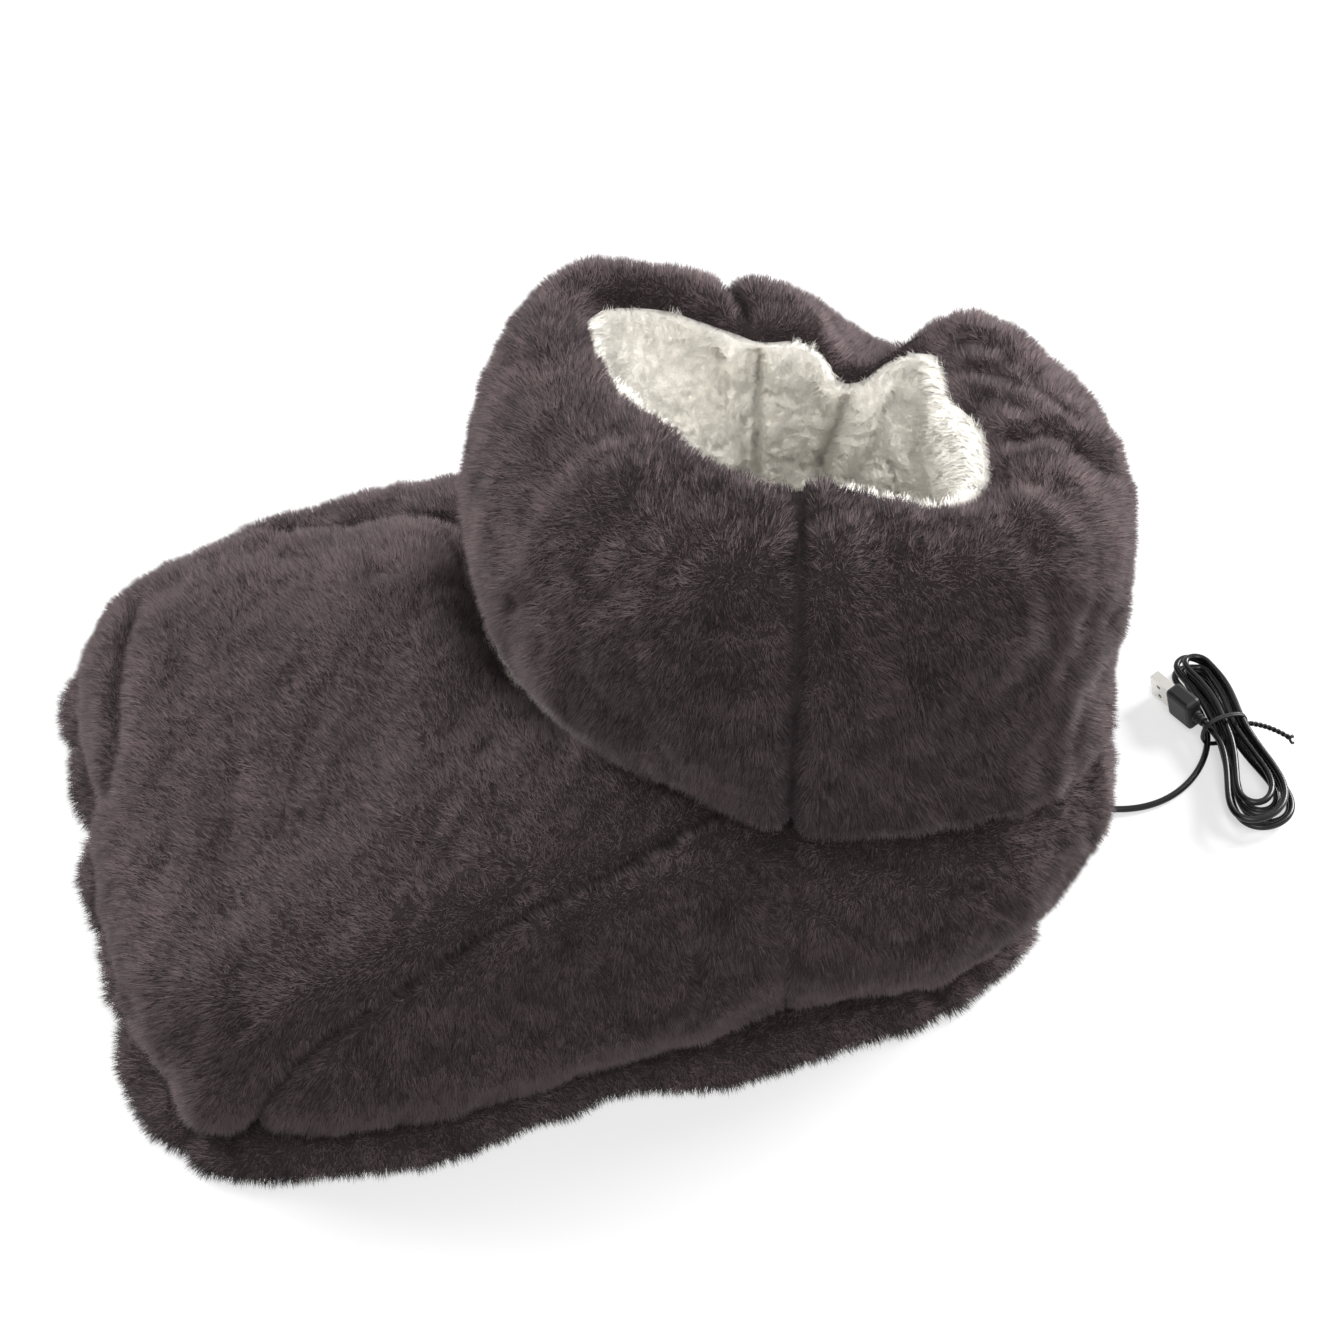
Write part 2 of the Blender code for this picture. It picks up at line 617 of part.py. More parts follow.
def make_cuff(frame):
    """Front and back cuff, each with plush, padding and lining."""
    grid, normal = cuff_grid()
    seam_row = len(CUFF_OUT_SHARES) - 1
    filling_depth = PLUSH_THICKNESS + GAP
    lining_depth = LINING_THICKNESS + GAP
    for name, chosen in (
        ("front", list(range(FRONT_STATIONS + 1))),
        ("back", [i % len(grid) for i in range(FRONT_STATIONS, len(grid) + 1)]),
    ):
        face, facing = grid[chosen], normal[chosen]
        plush = face[:, :seam_row + 1]
        plush_normal = facing[:, :seam_row + 1]
        lining = face[:, seam_row:]
        lining_normal = facing[:, seam_row:]
        pieces = (
            ("cuff_plush", plush, plush - plush_normal * PLUSH_THICKNESS, "plush", False, True),
            ("cuff_lining", lining, lining - lining_normal * LINING_THICKNESS, "fleece", True, False),
        )
        for part, outer, inner, kind, first_cut, last_cut in pieces:
            outer = nudge(nudge(outer, True, True, 0), first_cut, last_cut, 1)
            inner = nudge(nudge(inner, True, True, 0), first_cut, last_cut, 1)
            shell_object(f"{part}_{name}", outer, inner, kind, frame)
        make_filling(f"cuff_filling_{name}", plush, plush_normal, lining, lining_normal, frame)


def make_filling(name, plush, plush_normal, lining, lining_normal, frame):
    """Padding that fills the cuff between its plush and its lining."""
    outer = plush - plush_normal * (PLUSH_THICKNESS + GAP)
    inner = lining - lining_normal * (LINING_THICKNESS + GAP)
    loop = np.concatenate([outer[:, 1:], inner[:, 1:-2]], axis=1)
    loop = nudge(loop, True, True, 0)
    stations, around = loop.shape[:2]
    middles = loop[[0, -1]].mean(axis=1)
    points = np.vstack([loop.reshape(-1, 3), middles])
    faces = []
    for j in range(around):
        k = (j + 1) % around
        for i in range(stations - 1):
            a, b = i * around + j, (i + 1) * around + j
            c, d = (i + 1) * around + k, i * around + k
            faces += [(a, b, c), (a, c, d)]
        faces.append((j, k, stations * around))
        last = (stations - 1) * around
        faces.append((last + j, last + k, stations * around + 1))
    mesh_object(name, points, faces, "wadding", frame)


def slab(name, plan, base, top, kind, frame, chamfer=0.0):
    """A flat piece of even thickness over a closed outline, with an optional sloping top edge."""
    count = len(plan)
    rings = [(plan, base)]
    if chamfer:
        middle = plan.mean(axis=0)
        way = middle - plan
        inner = plan + way / np.linalg.norm(way, axis=1, keepdims=True) * chamfer
        rings += [(plan, top - chamfer), (inner, top)]
    else:
        rings += [(plan, top)]
    points = np.vstack([np.column_stack([line, np.full(count, height)]) for line, height in rings])
    faces = []
    for level in range(len(rings) - 1):
        for i in range(count):
            k = (i + 1) % count
            low, high = level * count, (level + 1) * count
            faces.append((low + i, low + k, high + k, high + i))
    faces.append(list(range(count)))
    faces.append([(len(rings) - 1) * count + i for i in range(count)])
    return mesh_object(name, points, faces, kind, frame)


def sole_shares():
    """Shares round the sole that match the upper's columns at its foot."""
    columns, _ = panel_columns()
    return columns[:, 0]


def flange_reach(u):
    """How far the soft strip's edge wanders out of the sole's outline."""
    side = np.exp(-((u - FLANGE_BULGE_SHARE) / FLANGE_BULGE_WIDTH_SHARE) ** 2)
    corner = np.exp(-((np.minimum(u, 1 - u) - FLANGE_CORNER_SHARE) / FLANGE_CORNER_WIDTH_SHARE) ** 2)
    wave = FLANGE_WAVE * np.cos(2 * math.pi * FLANGE_WAVES * u)
    return wave + FLANGE_SIDE_BULGE * side + FLANGE_CORNER_BULGE * corner


def exit_place():
    """Where the lead's line crosses the outer edge of the sole at the heel."""
    heel = [i for i, p in enumerate(OUTLINE) if p[1] > WAIST_Y]
    xs, ys = OUTLINE[heel, 0], OUTLINE[heel, 1]
    nearest = int(np.argmin(np.abs(xs - EXIT_X)))
    return float(ys[nearest]) + FLANGE_WIDTH, float(OUTLINE_SHARE[heel[nearest]])


EXIT_Y, EXIT_SHARE = exit_place()


def make_flange(frame):
    """The plush strip round the sole, a strip whose two ends meet on either side of the lead."""
    length = (UPPER_HEEL_Y - UPPER_TOE_Y) * 2 + UPPER_HALF_WIDTH * 4
    half_gap = FLANGE_SPLIT / 2 / length
    shares = np.sort(np.mod(sole_shares(), 1.0))
    shares = np.where(shares < EXIT_SHARE, shares + 1, shares)
    keep = (shares > EXIT_SHARE + 3 * half_gap) & (shares < EXIT_SHARE + 1 - 3 * half_gap)
    shares = np.sort(shares[keep])
    ends = (EXIT_SHARE + half_gap, EXIT_SHARE + 1 - half_gap)
    shares = np.concatenate([[ends[0]], shares, [ends[1]]])
    section = (
        (FLANGE_TUCK, FOAM_BASE),
        (FLANGE_NOSE_INSET - FLANGE_WIDTH, FOAM_BASE),
        (-FLANGE_WIDTH, FOAM_BASE + FLANGE_NOSE_HEIGHT),
        (FLANGE_CROWN_INSET - FLANGE_WIDTH, FOAM_BASE + FLANGE_CROWN_HEIGHT),
        (0.0, FOAM_TOP),
        (FLANGE_TUCK, FOAM_TOP),
    )
    reach = flange_reach(np.mod(shares, 1.0))
    lines = []
    for inset, height in section:
        loose = max(0.0, -inset / FLANGE_WIDTH)
        plan, _ = outline(shares, inset - reach * loose)
        lines.append(np.column_stack([plan, np.full(len(shares), height)]))
    around = len(section)
    points = np.stack(lines, axis=1).reshape(-1, 3)
    faces = []
    for i in range(len(shares) - 1):
        for j in range(around):
            k = (j + 1) % around
            faces.append((i * around + j, (i + 1) * around + j, (i + 1) * around + k, i * around + k))
    faces.append(list(range(around)))
    faces.append([(len(shares) - 1) * around + j for j in range(around)])
    mesh_object("sole_border_plush", points, faces, "plush", frame)


def make_sole(frame):
    """Outsole cloth, foam with the lead's slot, and the insole."""
    shares = sole_shares()
    cloth, _ = outline(shares, np.full(len(shares), OUTSOLE_INSET - FLANGE_WIDTH))
    slab("outsole_fabric", cloth, 0.0, OUTSOLE_TOP, "outsole", frame)
    foam_inset = FLANGE_TUCK + GAP
    foam, _ = outline(shares, np.full(len(shares), foam_inset))
    board = slab("sole_foam", foam, FOAM_BASE, FOAM_TOP, "foam", frame)
    slot_start = PAD_HEEL_Y + OVERRUN
    slot_end = UPPER_HEEL_Y + OVERRUN
    cutter = box("slot_cutter", (2 * SLOT_HALF_WIDTH, slot_end - slot_start, FOAM_THICKNESS + 2 * OVERRUN),
                 (EXIT_X, (slot_start + slot_end) / 2, (FOAM_BASE + FOAM_TOP) / 2), "foam", frame)
    cut(board, cutter)
    pad = np.array(pad_outline())
    slab("heater_cover_bottom", pad, WALL_BASE, COVER_LOW_TOP, "felt", frame)
    slab("heater_cover_top", pad, COVER_HIGH_BASE, COVER_HIGH_BASE + PAD_COVER_THICKNESS, "felt", frame)
    insole_inset = WALL_THICKNESS + INSOLE_CLEARANCE
    insole, _ = outline(shares, np.full(len(shares), insole_inset))
    slab("insole_fleece", insole, INSOLE_BASE, INSOLE_BASE + INSOLE_THICKNESS, "fleece", frame,
         chamfer=INSOLE_CHAMFER)


def pad_outline():
    """Rounded rectangle of the heating pad."""
    points = []
    corners = (
        (PAD_HALF_WIDTH, PAD_TOE_Y, -90),
        (PAD_HALF_WIDTH, PAD_HEEL_Y, 0),
        (-PAD_HALF_WIDTH, PAD_HEEL_Y, 90),
        (-PAD_HALF_WIDTH, PAD_TOE_Y, 180),
    )
    for x, y, start in corners:
        centre_x = x - math.copysign(PAD_CORNER, x) + PAD_CENTRE_X
        centre_y = y + PAD_CORNER if y == PAD_TOE_Y else y - PAD_CORNER
        for step in range(PAD_CORNER_POINTS):
            angle = math.radians(start + 90 * step / (PAD_CORNER_POINTS - 1))
            points.append((centre_x + PAD_CORNER * math.cos(angle), centre_y + PAD_CORNER * math.sin(angle)))
    return points


def box(name, size, centre, kind, frame):
    shape = bmesh.new()
    bmesh.ops.create_cube(shape, size=1.0)
    bmesh.ops.scale(shape, vec=size, verts=shape.verts)
    bmesh.ops.translate(shape, vec=centre, verts=shape.verts)
    data = bpy.data.meshes.new(name)
    shape.to_mesh(data)
    shape.free()
    return add_object(name, data, kind, frame)


def cut(target, cutter):
    """Cuts one object with another, which stays as a hidden wire guide."""
    cutter.hide_render = True
    cutter.display_type = "WIRE"
    change = target.modifiers.new(cutter.name, "BOOLEAN")
    change.operation = "DIFFERENCE"
    change.solver = "EXACT"
    change.object = cutter


def wire_route():
    """The heating wire: runs to and fro along the pad, and both ends dipping into the foam's slot."""
    left = -WIRE_PITCH * (WIRE_RUNS - 1) / 2
    xs = [PAD_CENTRE_X + left + WIRE_PITCH * i for i in range(WIRE_RUNS)]
    toe_end = PAD_TOE_Y + WIRE_EDGE + WIRE_PITCH / 2
    heel_end = PAD_HEEL_Y - WIRE_EDGE - WIRE_PITCH / 2 - WIRE_FEED_INSET
    feed_y = PAD_HEEL_Y - WIRE_FEED_INSET
    ends_x = (EXIT_X - SLEEVE_SPREAD, EXIT_X + SLEEVE_SPREAD)
    drop = [
        (PAD_HEEL_Y + WIRE_DROP, LEAD_HEIGHT),
        (PAD_HEEL_Y + WIRE_DROP * WIRE_LEVEL_SHARE, LEAD_HEIGHT),
        (PAD_HEEL_Y + WIRE_DROP * WIRE_SLOPE_SHARE, (LEAD_HEIGHT + WIRE_HEIGHT) / 2),
        (PAD_HEEL_Y, WIRE_HEIGHT),
    ]
    points = [(ends_x[0], y, z) for y, z in drop]
    bend = WIRE_PITCH / 4
    points += arc(ends_x[0] - bend, feed_y, bend, 0, 90)[1:]
    points += arc(xs[0] + bend, feed_y, bend, 90, 180)
    for i in range(WIRE_RUNS - 1):
        middle = (xs[i] + xs[i + 1]) / 2
        if i % 2 == 0:
            points += arc(middle, toe_end, WIRE_PITCH / 2, 180, 360)
        else:
            points += arc(middle, heel_end, WIRE_PITCH / 2, 180, 0)
    last = xs[-1]
    sweep = smooth_line(
        [(last, heel_end, WIRE_HEIGHT), (last, (heel_end + feed_y) / 2, WIRE_HEIGHT),
         (ends_x[1], feed_y + bend / 2, WIRE_HEIGHT), (ends_x[1], PAD_HEEL_Y, WIRE_HEIGHT)], bend)
    points += [tuple(p) for p in sweep[:-1]]
    points += [(ends_x[1], y, z) for y, z in reversed(drop)]
    return points


def arc(x, y, radius, start, end):
    """Points of an arc in the heating wire's plane."""
    angles = np.radians(np.linspace(start, end, WIRE_TURN_POINTS))
    return [(x + radius * math.cos(a), y + radius * math.sin(a), WIRE_HEIGHT) for a in angles]


def make_heater(frame):
    """Heating wire, thermal cut-off, crimp sleeves and the two cores to the lead."""
    tube("heating_wire", wire_route(), WIRE_RADIUS, "heater", frame, sides=6)
    height = COVER_LOW_TOP + GAP + CUTOFF_SIZE[2] / 2
    run_x = PAD_CENTRE_X
    box("thermal_cutoff", CUTOFF_SIZE, (run_x, (PAD_TOE_Y + PAD_HEEL_Y) / 2, height), "white_plastic", frame)
    sleeve_start = PAD_HEEL_Y + WIRE_DROP + GAP
    sleeve_end = sleeve_start + SLEEVE_LENGTH
    core_start = sleeve_end + GAP
    core_end = core_start + CORE_LENGTH
    for side, name, kind in ((-1, "right", "black_pvc"), (1, "left", "red_pvc")):
        x = EXIT_X + side * SLEEVE_SPREAD
        near = EXIT_X + side * CORE_SPREAD
        tube(f"crimp_sleeve_{name}", [(x, sleeve_start, LEAD_HEIGHT), (x, sleeve_end, LEAD_HEIGHT)],
             SLEEVE_RADIUS, "white_plastic", frame)
        middle = (core_start + core_end) / 2
        quarter = CORE_LENGTH / 4
        route = [(x, core_start), (x, core_start + quarter), ((x + near) / 2, middle),
                 (near, core_end - quarter), (near, core_end)]
        tube(f"lead_core_{name}", [(a, b, LEAD_HEIGHT) for a, b in route], CORE_RADIUS, kind, frame)
    inner_start = core_end + GAP
    inner_end = EXIT_Y - RELIEF_INNER - GAP
    tube("lead_inside", [(EXIT_X, inner_start, LEAD_HEIGHT), (EXIT_X, inner_end, LEAD_HEIGHT)],
         LEAD_RADIUS, "black_pvc", frame)


def turned(name, profile, kind, frame, sides=RELIEF_SIDES):
    """A solid turned about its own X axis from (distance along, radius) points."""
    points, faces, rings = [], [], []
    for along, radius in profile:
        start = len(points)
        for k in range(sides):
            angle = 2 * math.pi * k / sides
            points.append((along, radius * math.cos(angle), radius * math.sin(angle)))
        rings.append(start)
    for low, high in zip(rings, rings[1:]):
        for k in range(sides):
            m = (k + 1) % sides
            faces.append((low + k, low + m, high + m, high + k))
    faces.append([rings[0] + k for k in range(sides)])
    faces.append([rings[-1] + k for k in range(sides)])
    return mesh_object(name, points, faces, kind, frame)


def boot_profile(length, root, tip, grooves, depth):
    """A tapering sleeve with grooves round it."""
    pitch = length / (grooves + 1)
    width = pitch / 4
    profile = []

    def radius(along):
        return root + (tip - root) * along / length

    for k in range(1, grooves + 1):
        centre = pitch * k
        for offset, inset in ((-width, 0.0), (-width / 2, depth), (width / 2, depth), (width, 0.0)):
            profile.append((centre + offset, radius(centre + offset) - inset))
    return profile + [(length, tip)]


def make_relief(frame):
    """Strain relief where the lead leaves the heel, lying in the gap of the sole's border."""
    tail = boot_profile(RELIEF_OUTER, RELIEF_RADIUS, RELIEF_TIP_RADIUS, RELIEF_GROOVES, RELIEF_GROOVE_DEPTH)
    profile = [
        (-RELIEF_INNER, RELIEF_RADIUS),
        (-RELIEF_COLLAR_LENGTH, RELIEF_RADIUS),
        (-RELIEF_COLLAR_LENGTH, RELIEF_COLLAR_RADIUS),
        (0.0, RELIEF_COLLAR_RADIUS),
        (0.0, RELIEF_RADIUS),
    ] + tail
    piece = turned("strain_relief", profile, "black_pvc", frame)
    piece.matrix_basis = Matrix.Translation((EXIT_X, EXIT_Y, LEAD_HEIGHT)) @ Matrix.Rotation(math.pi / 2, 4, "Z")


def hank_place(turn):
    """A point of the hank's centre line, after this many loops from its start."""
    per_layer = HANK_LOOPS / HANK_LAYERS
    layer = min(max(int(turn // per_layer), 0), HANK_LAYERS - 1)
    into = abs(turn - per_layer * layer)
    depth = into if layer % 2 == 0 else per_layer - into
    height = LEAD_FLOOR
    for k in range(1, HANK_LAYERS):
        height += HANK_LAYER_STEP * smooth_share((turn - per_layer * k) * 2 + 0.5)
    angle = math.radians(270) - 2 * math.pi * turn
    along, aside = math.cos(angle), math.sin(angle)
    waist = HANK_WAIST_CLEAR + HANK_STEP * (per_layer - depth)
    if along < 0:
        x = (HANK_TOE_LENGTH - HANK_TOE_SHRINK * depth) * along
        spread = HANK_TOE_SPREAD - HANK_TOE_SPREAD_SHRINK * depth
        out = -x / HANK_TOE_LENGTH
        aim = HANK_TOE_SHIFT * math.sin(math.pi * out) - HANK_TIP_LEAN * out**3
    else:
        x = (HANK_HEEL_LENGTH - HANK_HEEL_SHRINK * depth) * along
        spread = HANK_HEEL_SPREAD - HANK_HEEL_SPREAD_SHRINK * depth
        out = x / HANK_HEEL_LENGTH
        risen = (height - LEAD_FLOOR) / (HANK_LAYER_STEP * (HANK_LAYERS - 1))
        aim = (HANK_FAN * (0.5 - risen) - HANK_HEEL_LEAN) * out**2
    y = aside * (waist + spread * along**2) + aim
    height += HANK_LIFT * math.exp(-(x / HANK_LIFT_REACH) ** 2)
    if turn < 0:
        y -= HANK_START_SWING * along**2
    last = smooth_share((turn - HANK_LOOPS) / HANK_END_BLEND_SHARE + 1)
    return np.array([HANK_X + x, HANK_Y + y - HANK_END_SHIFT * last, height - HANK_END_DROP * last])


def hank_route():
    count = int(HANK_LOOPS * HANK_LOOP_POINTS)
    turns = np.linspace(HANK_START_SHARE, HANK_LOOPS - HANK_END_SHARE, count)
    points = [hank_place(t) for t in turns]
    way = points[0] - points[1]
    way[2] = 0
    start = points[0] + way / np.linalg.norm(way) * (2 * LEAD_RADIUS)
    socket, axis = plug_socket()
    end = socket + axis * GAP
    before = end + axis * (2 * LEAD_RADIUS)
    return np.array([start] + points + [before, end])


def least_gap(points, diameter):
    """The least gap of a tube to itself, measured on points along its centre line."""
    fine = []
    for a, b in zip(points[:-1], points[1:]):
        fine += [a + (b - a) * t for t in (0.0, 0.5)]
    fine = np.array(fine)
    along = np.concatenate([[0], np.cumsum(np.linalg.norm(np.diff(fine, axis=0), axis=1))])
    apart = np.linalg.norm(fine[:, None] - fine[None], axis=2)
    apart[np.abs(along[:, None] - along[None]) < 4 * diameter] = np.inf
    return float(apart.min() - diameter)


def make_lead(frame):
    """Free lead on the floor and its hank, one unbroken tube of loops."""
    hank = hank_route()
    tube("lead_hank", hank, LEAD_RADIUS, "black_pvc", frame, sides=6)
    print(f"least gap in the hank: {least_gap(hank, 2 * LEAD_RADIUS) * 1000:.2f} mm")
    start = np.array([EXIT_X, EXIT_Y + RELIEF_OUTER + GAP, LEAD_HEIGHT])
    straight = start + (0, 2 * LEAD_RADIUS, 0)
    way = hank[0] - hank[1]
    way /= np.linalg.norm(way)
    end = hank[0] + way * GAP
    before = end + way * (2 * LEAD_RADIUS)
    middle = [(x, y, LEAD_FLOOR) for x, y in LEAD_ROUTE]
    line = smooth_line([straight] + middle + [before], LEAD_STEP)
    line = np.vstack([start[None], line, end[None]])
    tube("lead_run", line, LEAD_RADIUS, "black_pvc", frame, sides=8)
    total = sum(np.linalg.norm(np.diff(p, axis=0), axis=1).sum() for p in (hank, line))
    print(f"lead outside the boot: {total:.3f} m")


def make_tie(frame):
    """Twist tie round the hank's waist, with both tails side by side."""
    low = LEAD_FLOOR + HANK_LIFT - LEAD_RADIUS - TIE_CLEARANCE / 2
    high = LEAD_FLOOR + HANK_LIFT + HANK_LAYER_STEP * (HANK_LAYERS - 1) + LEAD_RADIUS + TIE_CLEARANCE
    reach = HANK_WAIST_CLEAR + HANK_STEP * HANK_LOOPS / HANK_LAYERS + LEAD_RADIUS
    reach += HANK_END_SHIFT + TIE_SLACK + TIE_CLEARANCE
    far = HANK_WAIST_CLEAR + HANK_STEP + LEAD_RADIUS + TIE_CLEARANCE
    corner = TIE_RADIUS * TIE_CORNER_SHARE
    boxes = (
        (far - corner, low - TIE_RADIUS + corner, -45),
        (-reach + corner, low - TIE_RADIUS + corner, -90),
        (-reach + corner, high + TIE_RADIUS - corner, -180),
        (far - corner, high + TIE_RADIUS - corner, -270),
    )
    points = []
    for y, z, start in boxes:
        turn = 45 if start == -45 else 90
        for k in range(TIE_CORNER_POINTS):
            angle = math.radians(start - turn * k / (TIE_CORNER_POINTS - 1))
            points.append((0.0, y + corner * math.cos(angle), z + corner * math.sin(angle)))
    apart = TIE_RADIUS + GAP
    knot_y, knot_z = far + TIE_RADIUS, (low + high) / 2
    out = Vector((math.sin(TIE_TURN), math.cos(TIE_TURN), 0.0))
    tip = Vector((0, knot_y, knot_z)) + out * TIE_TAIL - Vector((0, 0, TIE_TAIL_RISE))
    root = Vector((0, knot_y, knot_z)) + out * TIE_TAIL * TIE_ROOT_SHARE
    first = [tuple(tip - Vector((0, 0, apart))), tuple(root - Vector((0, 0, apart)))]
    second = [tuple(root + Vector((0, 0, apart))), tuple(tip + Vector((0, 0, apart)))]
    line = [Vector(p) + Vector((HANK_X, HANK_Y, 0)) for p in first + points + second]
    tube("hank_tie", line, TIE_RADIUS, "black_pvc", frame, sides=6)


def plug_matrix():
    """The plug's own frame: X from its cable end to its tip, Z across its wide face."""
    turn = Matrix.Rotation(PLUG_TURN, 4, "Z")
    pitch = Matrix.Rotation(-PLUG_PITCH, 4, "Y")
    lean = Matrix.Rotation(PLUG_LEAN, 4, "X")
    spin = turn @ pitch @ lean
    tip = Vector((PLUG_TIP[0], PLUG_TIP[1], 0.0))
    length = MOULD_LENGTH + SHELL_LENGTH
    corners = [
        spin @ Vector((x, y * size / 2, z * wide / 2))
        for x, size, wide in ((length, SHELL_THICKNESS, SHELL_WIDTH), (0.0, MOULD_THICKNESS, MOULD_WIDTH),
                              (MOULD_LENGTH, MOULD_THICKNESS, MOULD_WIDTH))
        for y in (-1, 1)
        for z in (-1, 1)
    ]
    lift = PLUG_FLOOR_CLEARANCE - min(c.z for c in corners)
    back = spin @ Vector((length, 0.0, 0.0))
    return Matrix.Translation((tip.x - back.x, tip.y - back.y, lift)) @ spin


def plug_socket():
    """Where the hank's end meets the plug's boot, and the way out of the boot."""
    frame = plug_matrix()
    place = frame @ Vector((-BOOT_LENGTH, 0.0, 0.0))
    way = frame.to_3x3() @ Vector((-1.0, 0.0, 0.0))
    return np.array(place), np.array(way)


def make_plug(frame):
    """USB plug: shell, tongue, contacts, moulded grip and boot."""
    place = plug_matrix()
    shell_x = MOULD_LENGTH + (SHELL_LENGTH - SHELL_ROOT) / 2
    shell = box("usb_shell", (SHELL_LENGTH + SHELL_ROOT, SHELL_THICKNESS, SHELL_WIDTH),
                (shell_x, 0.0, 0.0), "nickel", frame)
    hollow = box("shell_bore", (SHELL_LENGTH + SHELL_ROOT, SHELL_THICKNESS - 2 * SHELL_WALL,
                                SHELL_WIDTH - 2 * SHELL_WALL),
                 (shell_x + SHELL_ROOT / 2, 0.0, 0.0), "nickel", frame)
    cut(shell, hollow)
    for side in (-1, 1):
        hole = box(f"shell_hole_{'top' if side > 0 else 'bottom'}",
                   (HOLE_SIZE, 2 * SHELL_THICKNESS, HOLE_SIZE),
                   (MOULD_LENGTH + SHELL_LENGTH - HOLE_INSET, 0.0, side * HOLE_OFFSET), "nickel", frame)
        cut(shell, hole)
        hole.matrix_basis = place
    tongue_length = SHELL_LENGTH + SHELL_ROOT / 2 - TONGUE_RECESS - GAP
    tongue_x = MOULD_LENGTH + SHELL_LENGTH - TONGUE_RECESS - tongue_length / 2
    tongue = box("usb_tongue", (tongue_length, TONGUE_THICKNESS, TONGUE_WIDTH),
                 (tongue_x, -TONGUE_OFFSET, 0.0), "white_plastic", frame)
    contacts = make_contacts(tongue_x + tongue_length / 2, frame)
    grip = box("usb_grip", (MOULD_LENGTH, MOULD_THICKNESS, MOULD_WIDTH), (MOULD_LENGTH / 2, 0.0, 0.0),
               "black_pvc", frame)
    socket = box("grip_socket", (SHELL_ROOT + GAP + OVERRUN, SHELL_THICKNESS + 2 * GAP, SHELL_WIDTH + 2 * GAP),
                 (MOULD_LENGTH - (SHELL_ROOT + GAP - OVERRUN) / 2, 0.0, 0.0), "black_pvc", frame)
    bevel = grip.modifiers.new("bevel", "BEVEL")
    bevel.width = MOULD_BEVEL
    bevel.segments = 2
    bevel.limit_method = "ANGLE"
    cut(grip, socket)
    tail = boot_profile(BOOT_LENGTH - GAP, BOOT_RADIUS, BOOT_TIP_RADIUS, BOOT_RIBS, BOOT_GROOVE_DEPTH)
    boot = turned("usb_boot", [(-GAP - along, radius) for along, radius in [(0.0, BOOT_RADIUS)] + tail],
                  "black_pvc", frame)
    for piece in (shell, hollow, tongue, *contacts, grip, socket, boot):
        piece.matrix_basis = place


def make_contacts(tongue_end, frame):
    """Contact strips along the tongue, a node for each strip."""
    side = -TONGUE_OFFSET + TONGUE_THICKNESS / 2 + GAP + CONTACT_THICKNESS / 2
    strips = []
    for k in range(CONTACTS):
        z = CONTACT_PITCH * (k - (CONTACTS - 1) / 2)
        strips.append(box(f"usb_contact_{k + 1}", (CONTACT_LENGTH, CONTACT_THICKNESS, CONTACT_WIDTH),
                          (tongue_end - CONTACT_LENGTH / 2, side, z), "brass", frame))
    return strips


def set_origin(frame, boot_nodes):
    """Moves everything so that the boot's bounding box stands centred on the origin."""
    bpy.context.view_layer.update()
    corners = np.array([item.matrix_world @ Vector(corner) for item in boot_nodes for corner in item.bound_box])
    low, high = corners.min(axis=0), corners.max(axis=0)
    frame.location = (-(low[0] + high[0]) / 2, -(low[1] + high[1]) / 2, -low[2])


def main():
    clear_scene()
    frame = bpy.data.objects.new("boot_frame", None)
    bpy.context.scene.collection.objects.link(frame)
    make_sole(frame)
    make_flange(frame)
    make_heater(frame)
    make_relief(frame)
    make_upper(frame)
    make_cuff(frame)
    boot_nodes = [item for item in frame.children if not item.hide_render]
    set_origin(frame, boot_nodes)
    make_lead(frame)
    make_tie(frame)
    make_plug(frame)


main()
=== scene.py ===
"""The look of the heated foot warmer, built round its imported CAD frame.

Lengths are in metres, +Z is up, the toe points along -Y and the wearer's left is +X.
"""

import math

import bmesh
import bpy
import numpy as np
from mathutils import Matrix, Vector


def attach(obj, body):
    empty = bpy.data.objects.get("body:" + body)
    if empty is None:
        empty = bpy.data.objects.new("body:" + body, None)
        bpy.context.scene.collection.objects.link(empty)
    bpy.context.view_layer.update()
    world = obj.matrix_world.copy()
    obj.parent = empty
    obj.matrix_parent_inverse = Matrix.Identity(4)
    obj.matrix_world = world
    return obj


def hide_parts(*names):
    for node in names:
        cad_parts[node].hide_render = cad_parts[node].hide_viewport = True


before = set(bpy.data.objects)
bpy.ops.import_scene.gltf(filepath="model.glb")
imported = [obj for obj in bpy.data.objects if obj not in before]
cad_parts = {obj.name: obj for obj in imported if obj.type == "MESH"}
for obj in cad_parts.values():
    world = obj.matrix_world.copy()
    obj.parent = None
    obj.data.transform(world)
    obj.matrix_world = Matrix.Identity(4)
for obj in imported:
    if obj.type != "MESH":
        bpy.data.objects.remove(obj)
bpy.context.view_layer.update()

# Boot in plan, where the upper meets the sole: a core outline grown by a round margin
UPPER_HALF_WIDTH = 0.139
MIDDLE_X = 0.003
UPPER_TOE_Y = -0.185
WAIST_Y = 0.020
UPPER_HEEL_Y = 0.169
CORNER_MARGIN = 0.034
TOE_POWER = 9.0
HEEL_POWER = 6.0
OUTLINE_SAMPLES = 1440

# Thicknesses and seats
GAP = 0.0003
SEAT_GAP = 0.0004
OUTSOLE_THICKNESS = 0.0016
FOAM_THICKNESS = 0.0054
PLUSH_THICKNESS = 0.007
WADDING_THICKNESS = 0.007
LINING_THICKNESS = 0.006

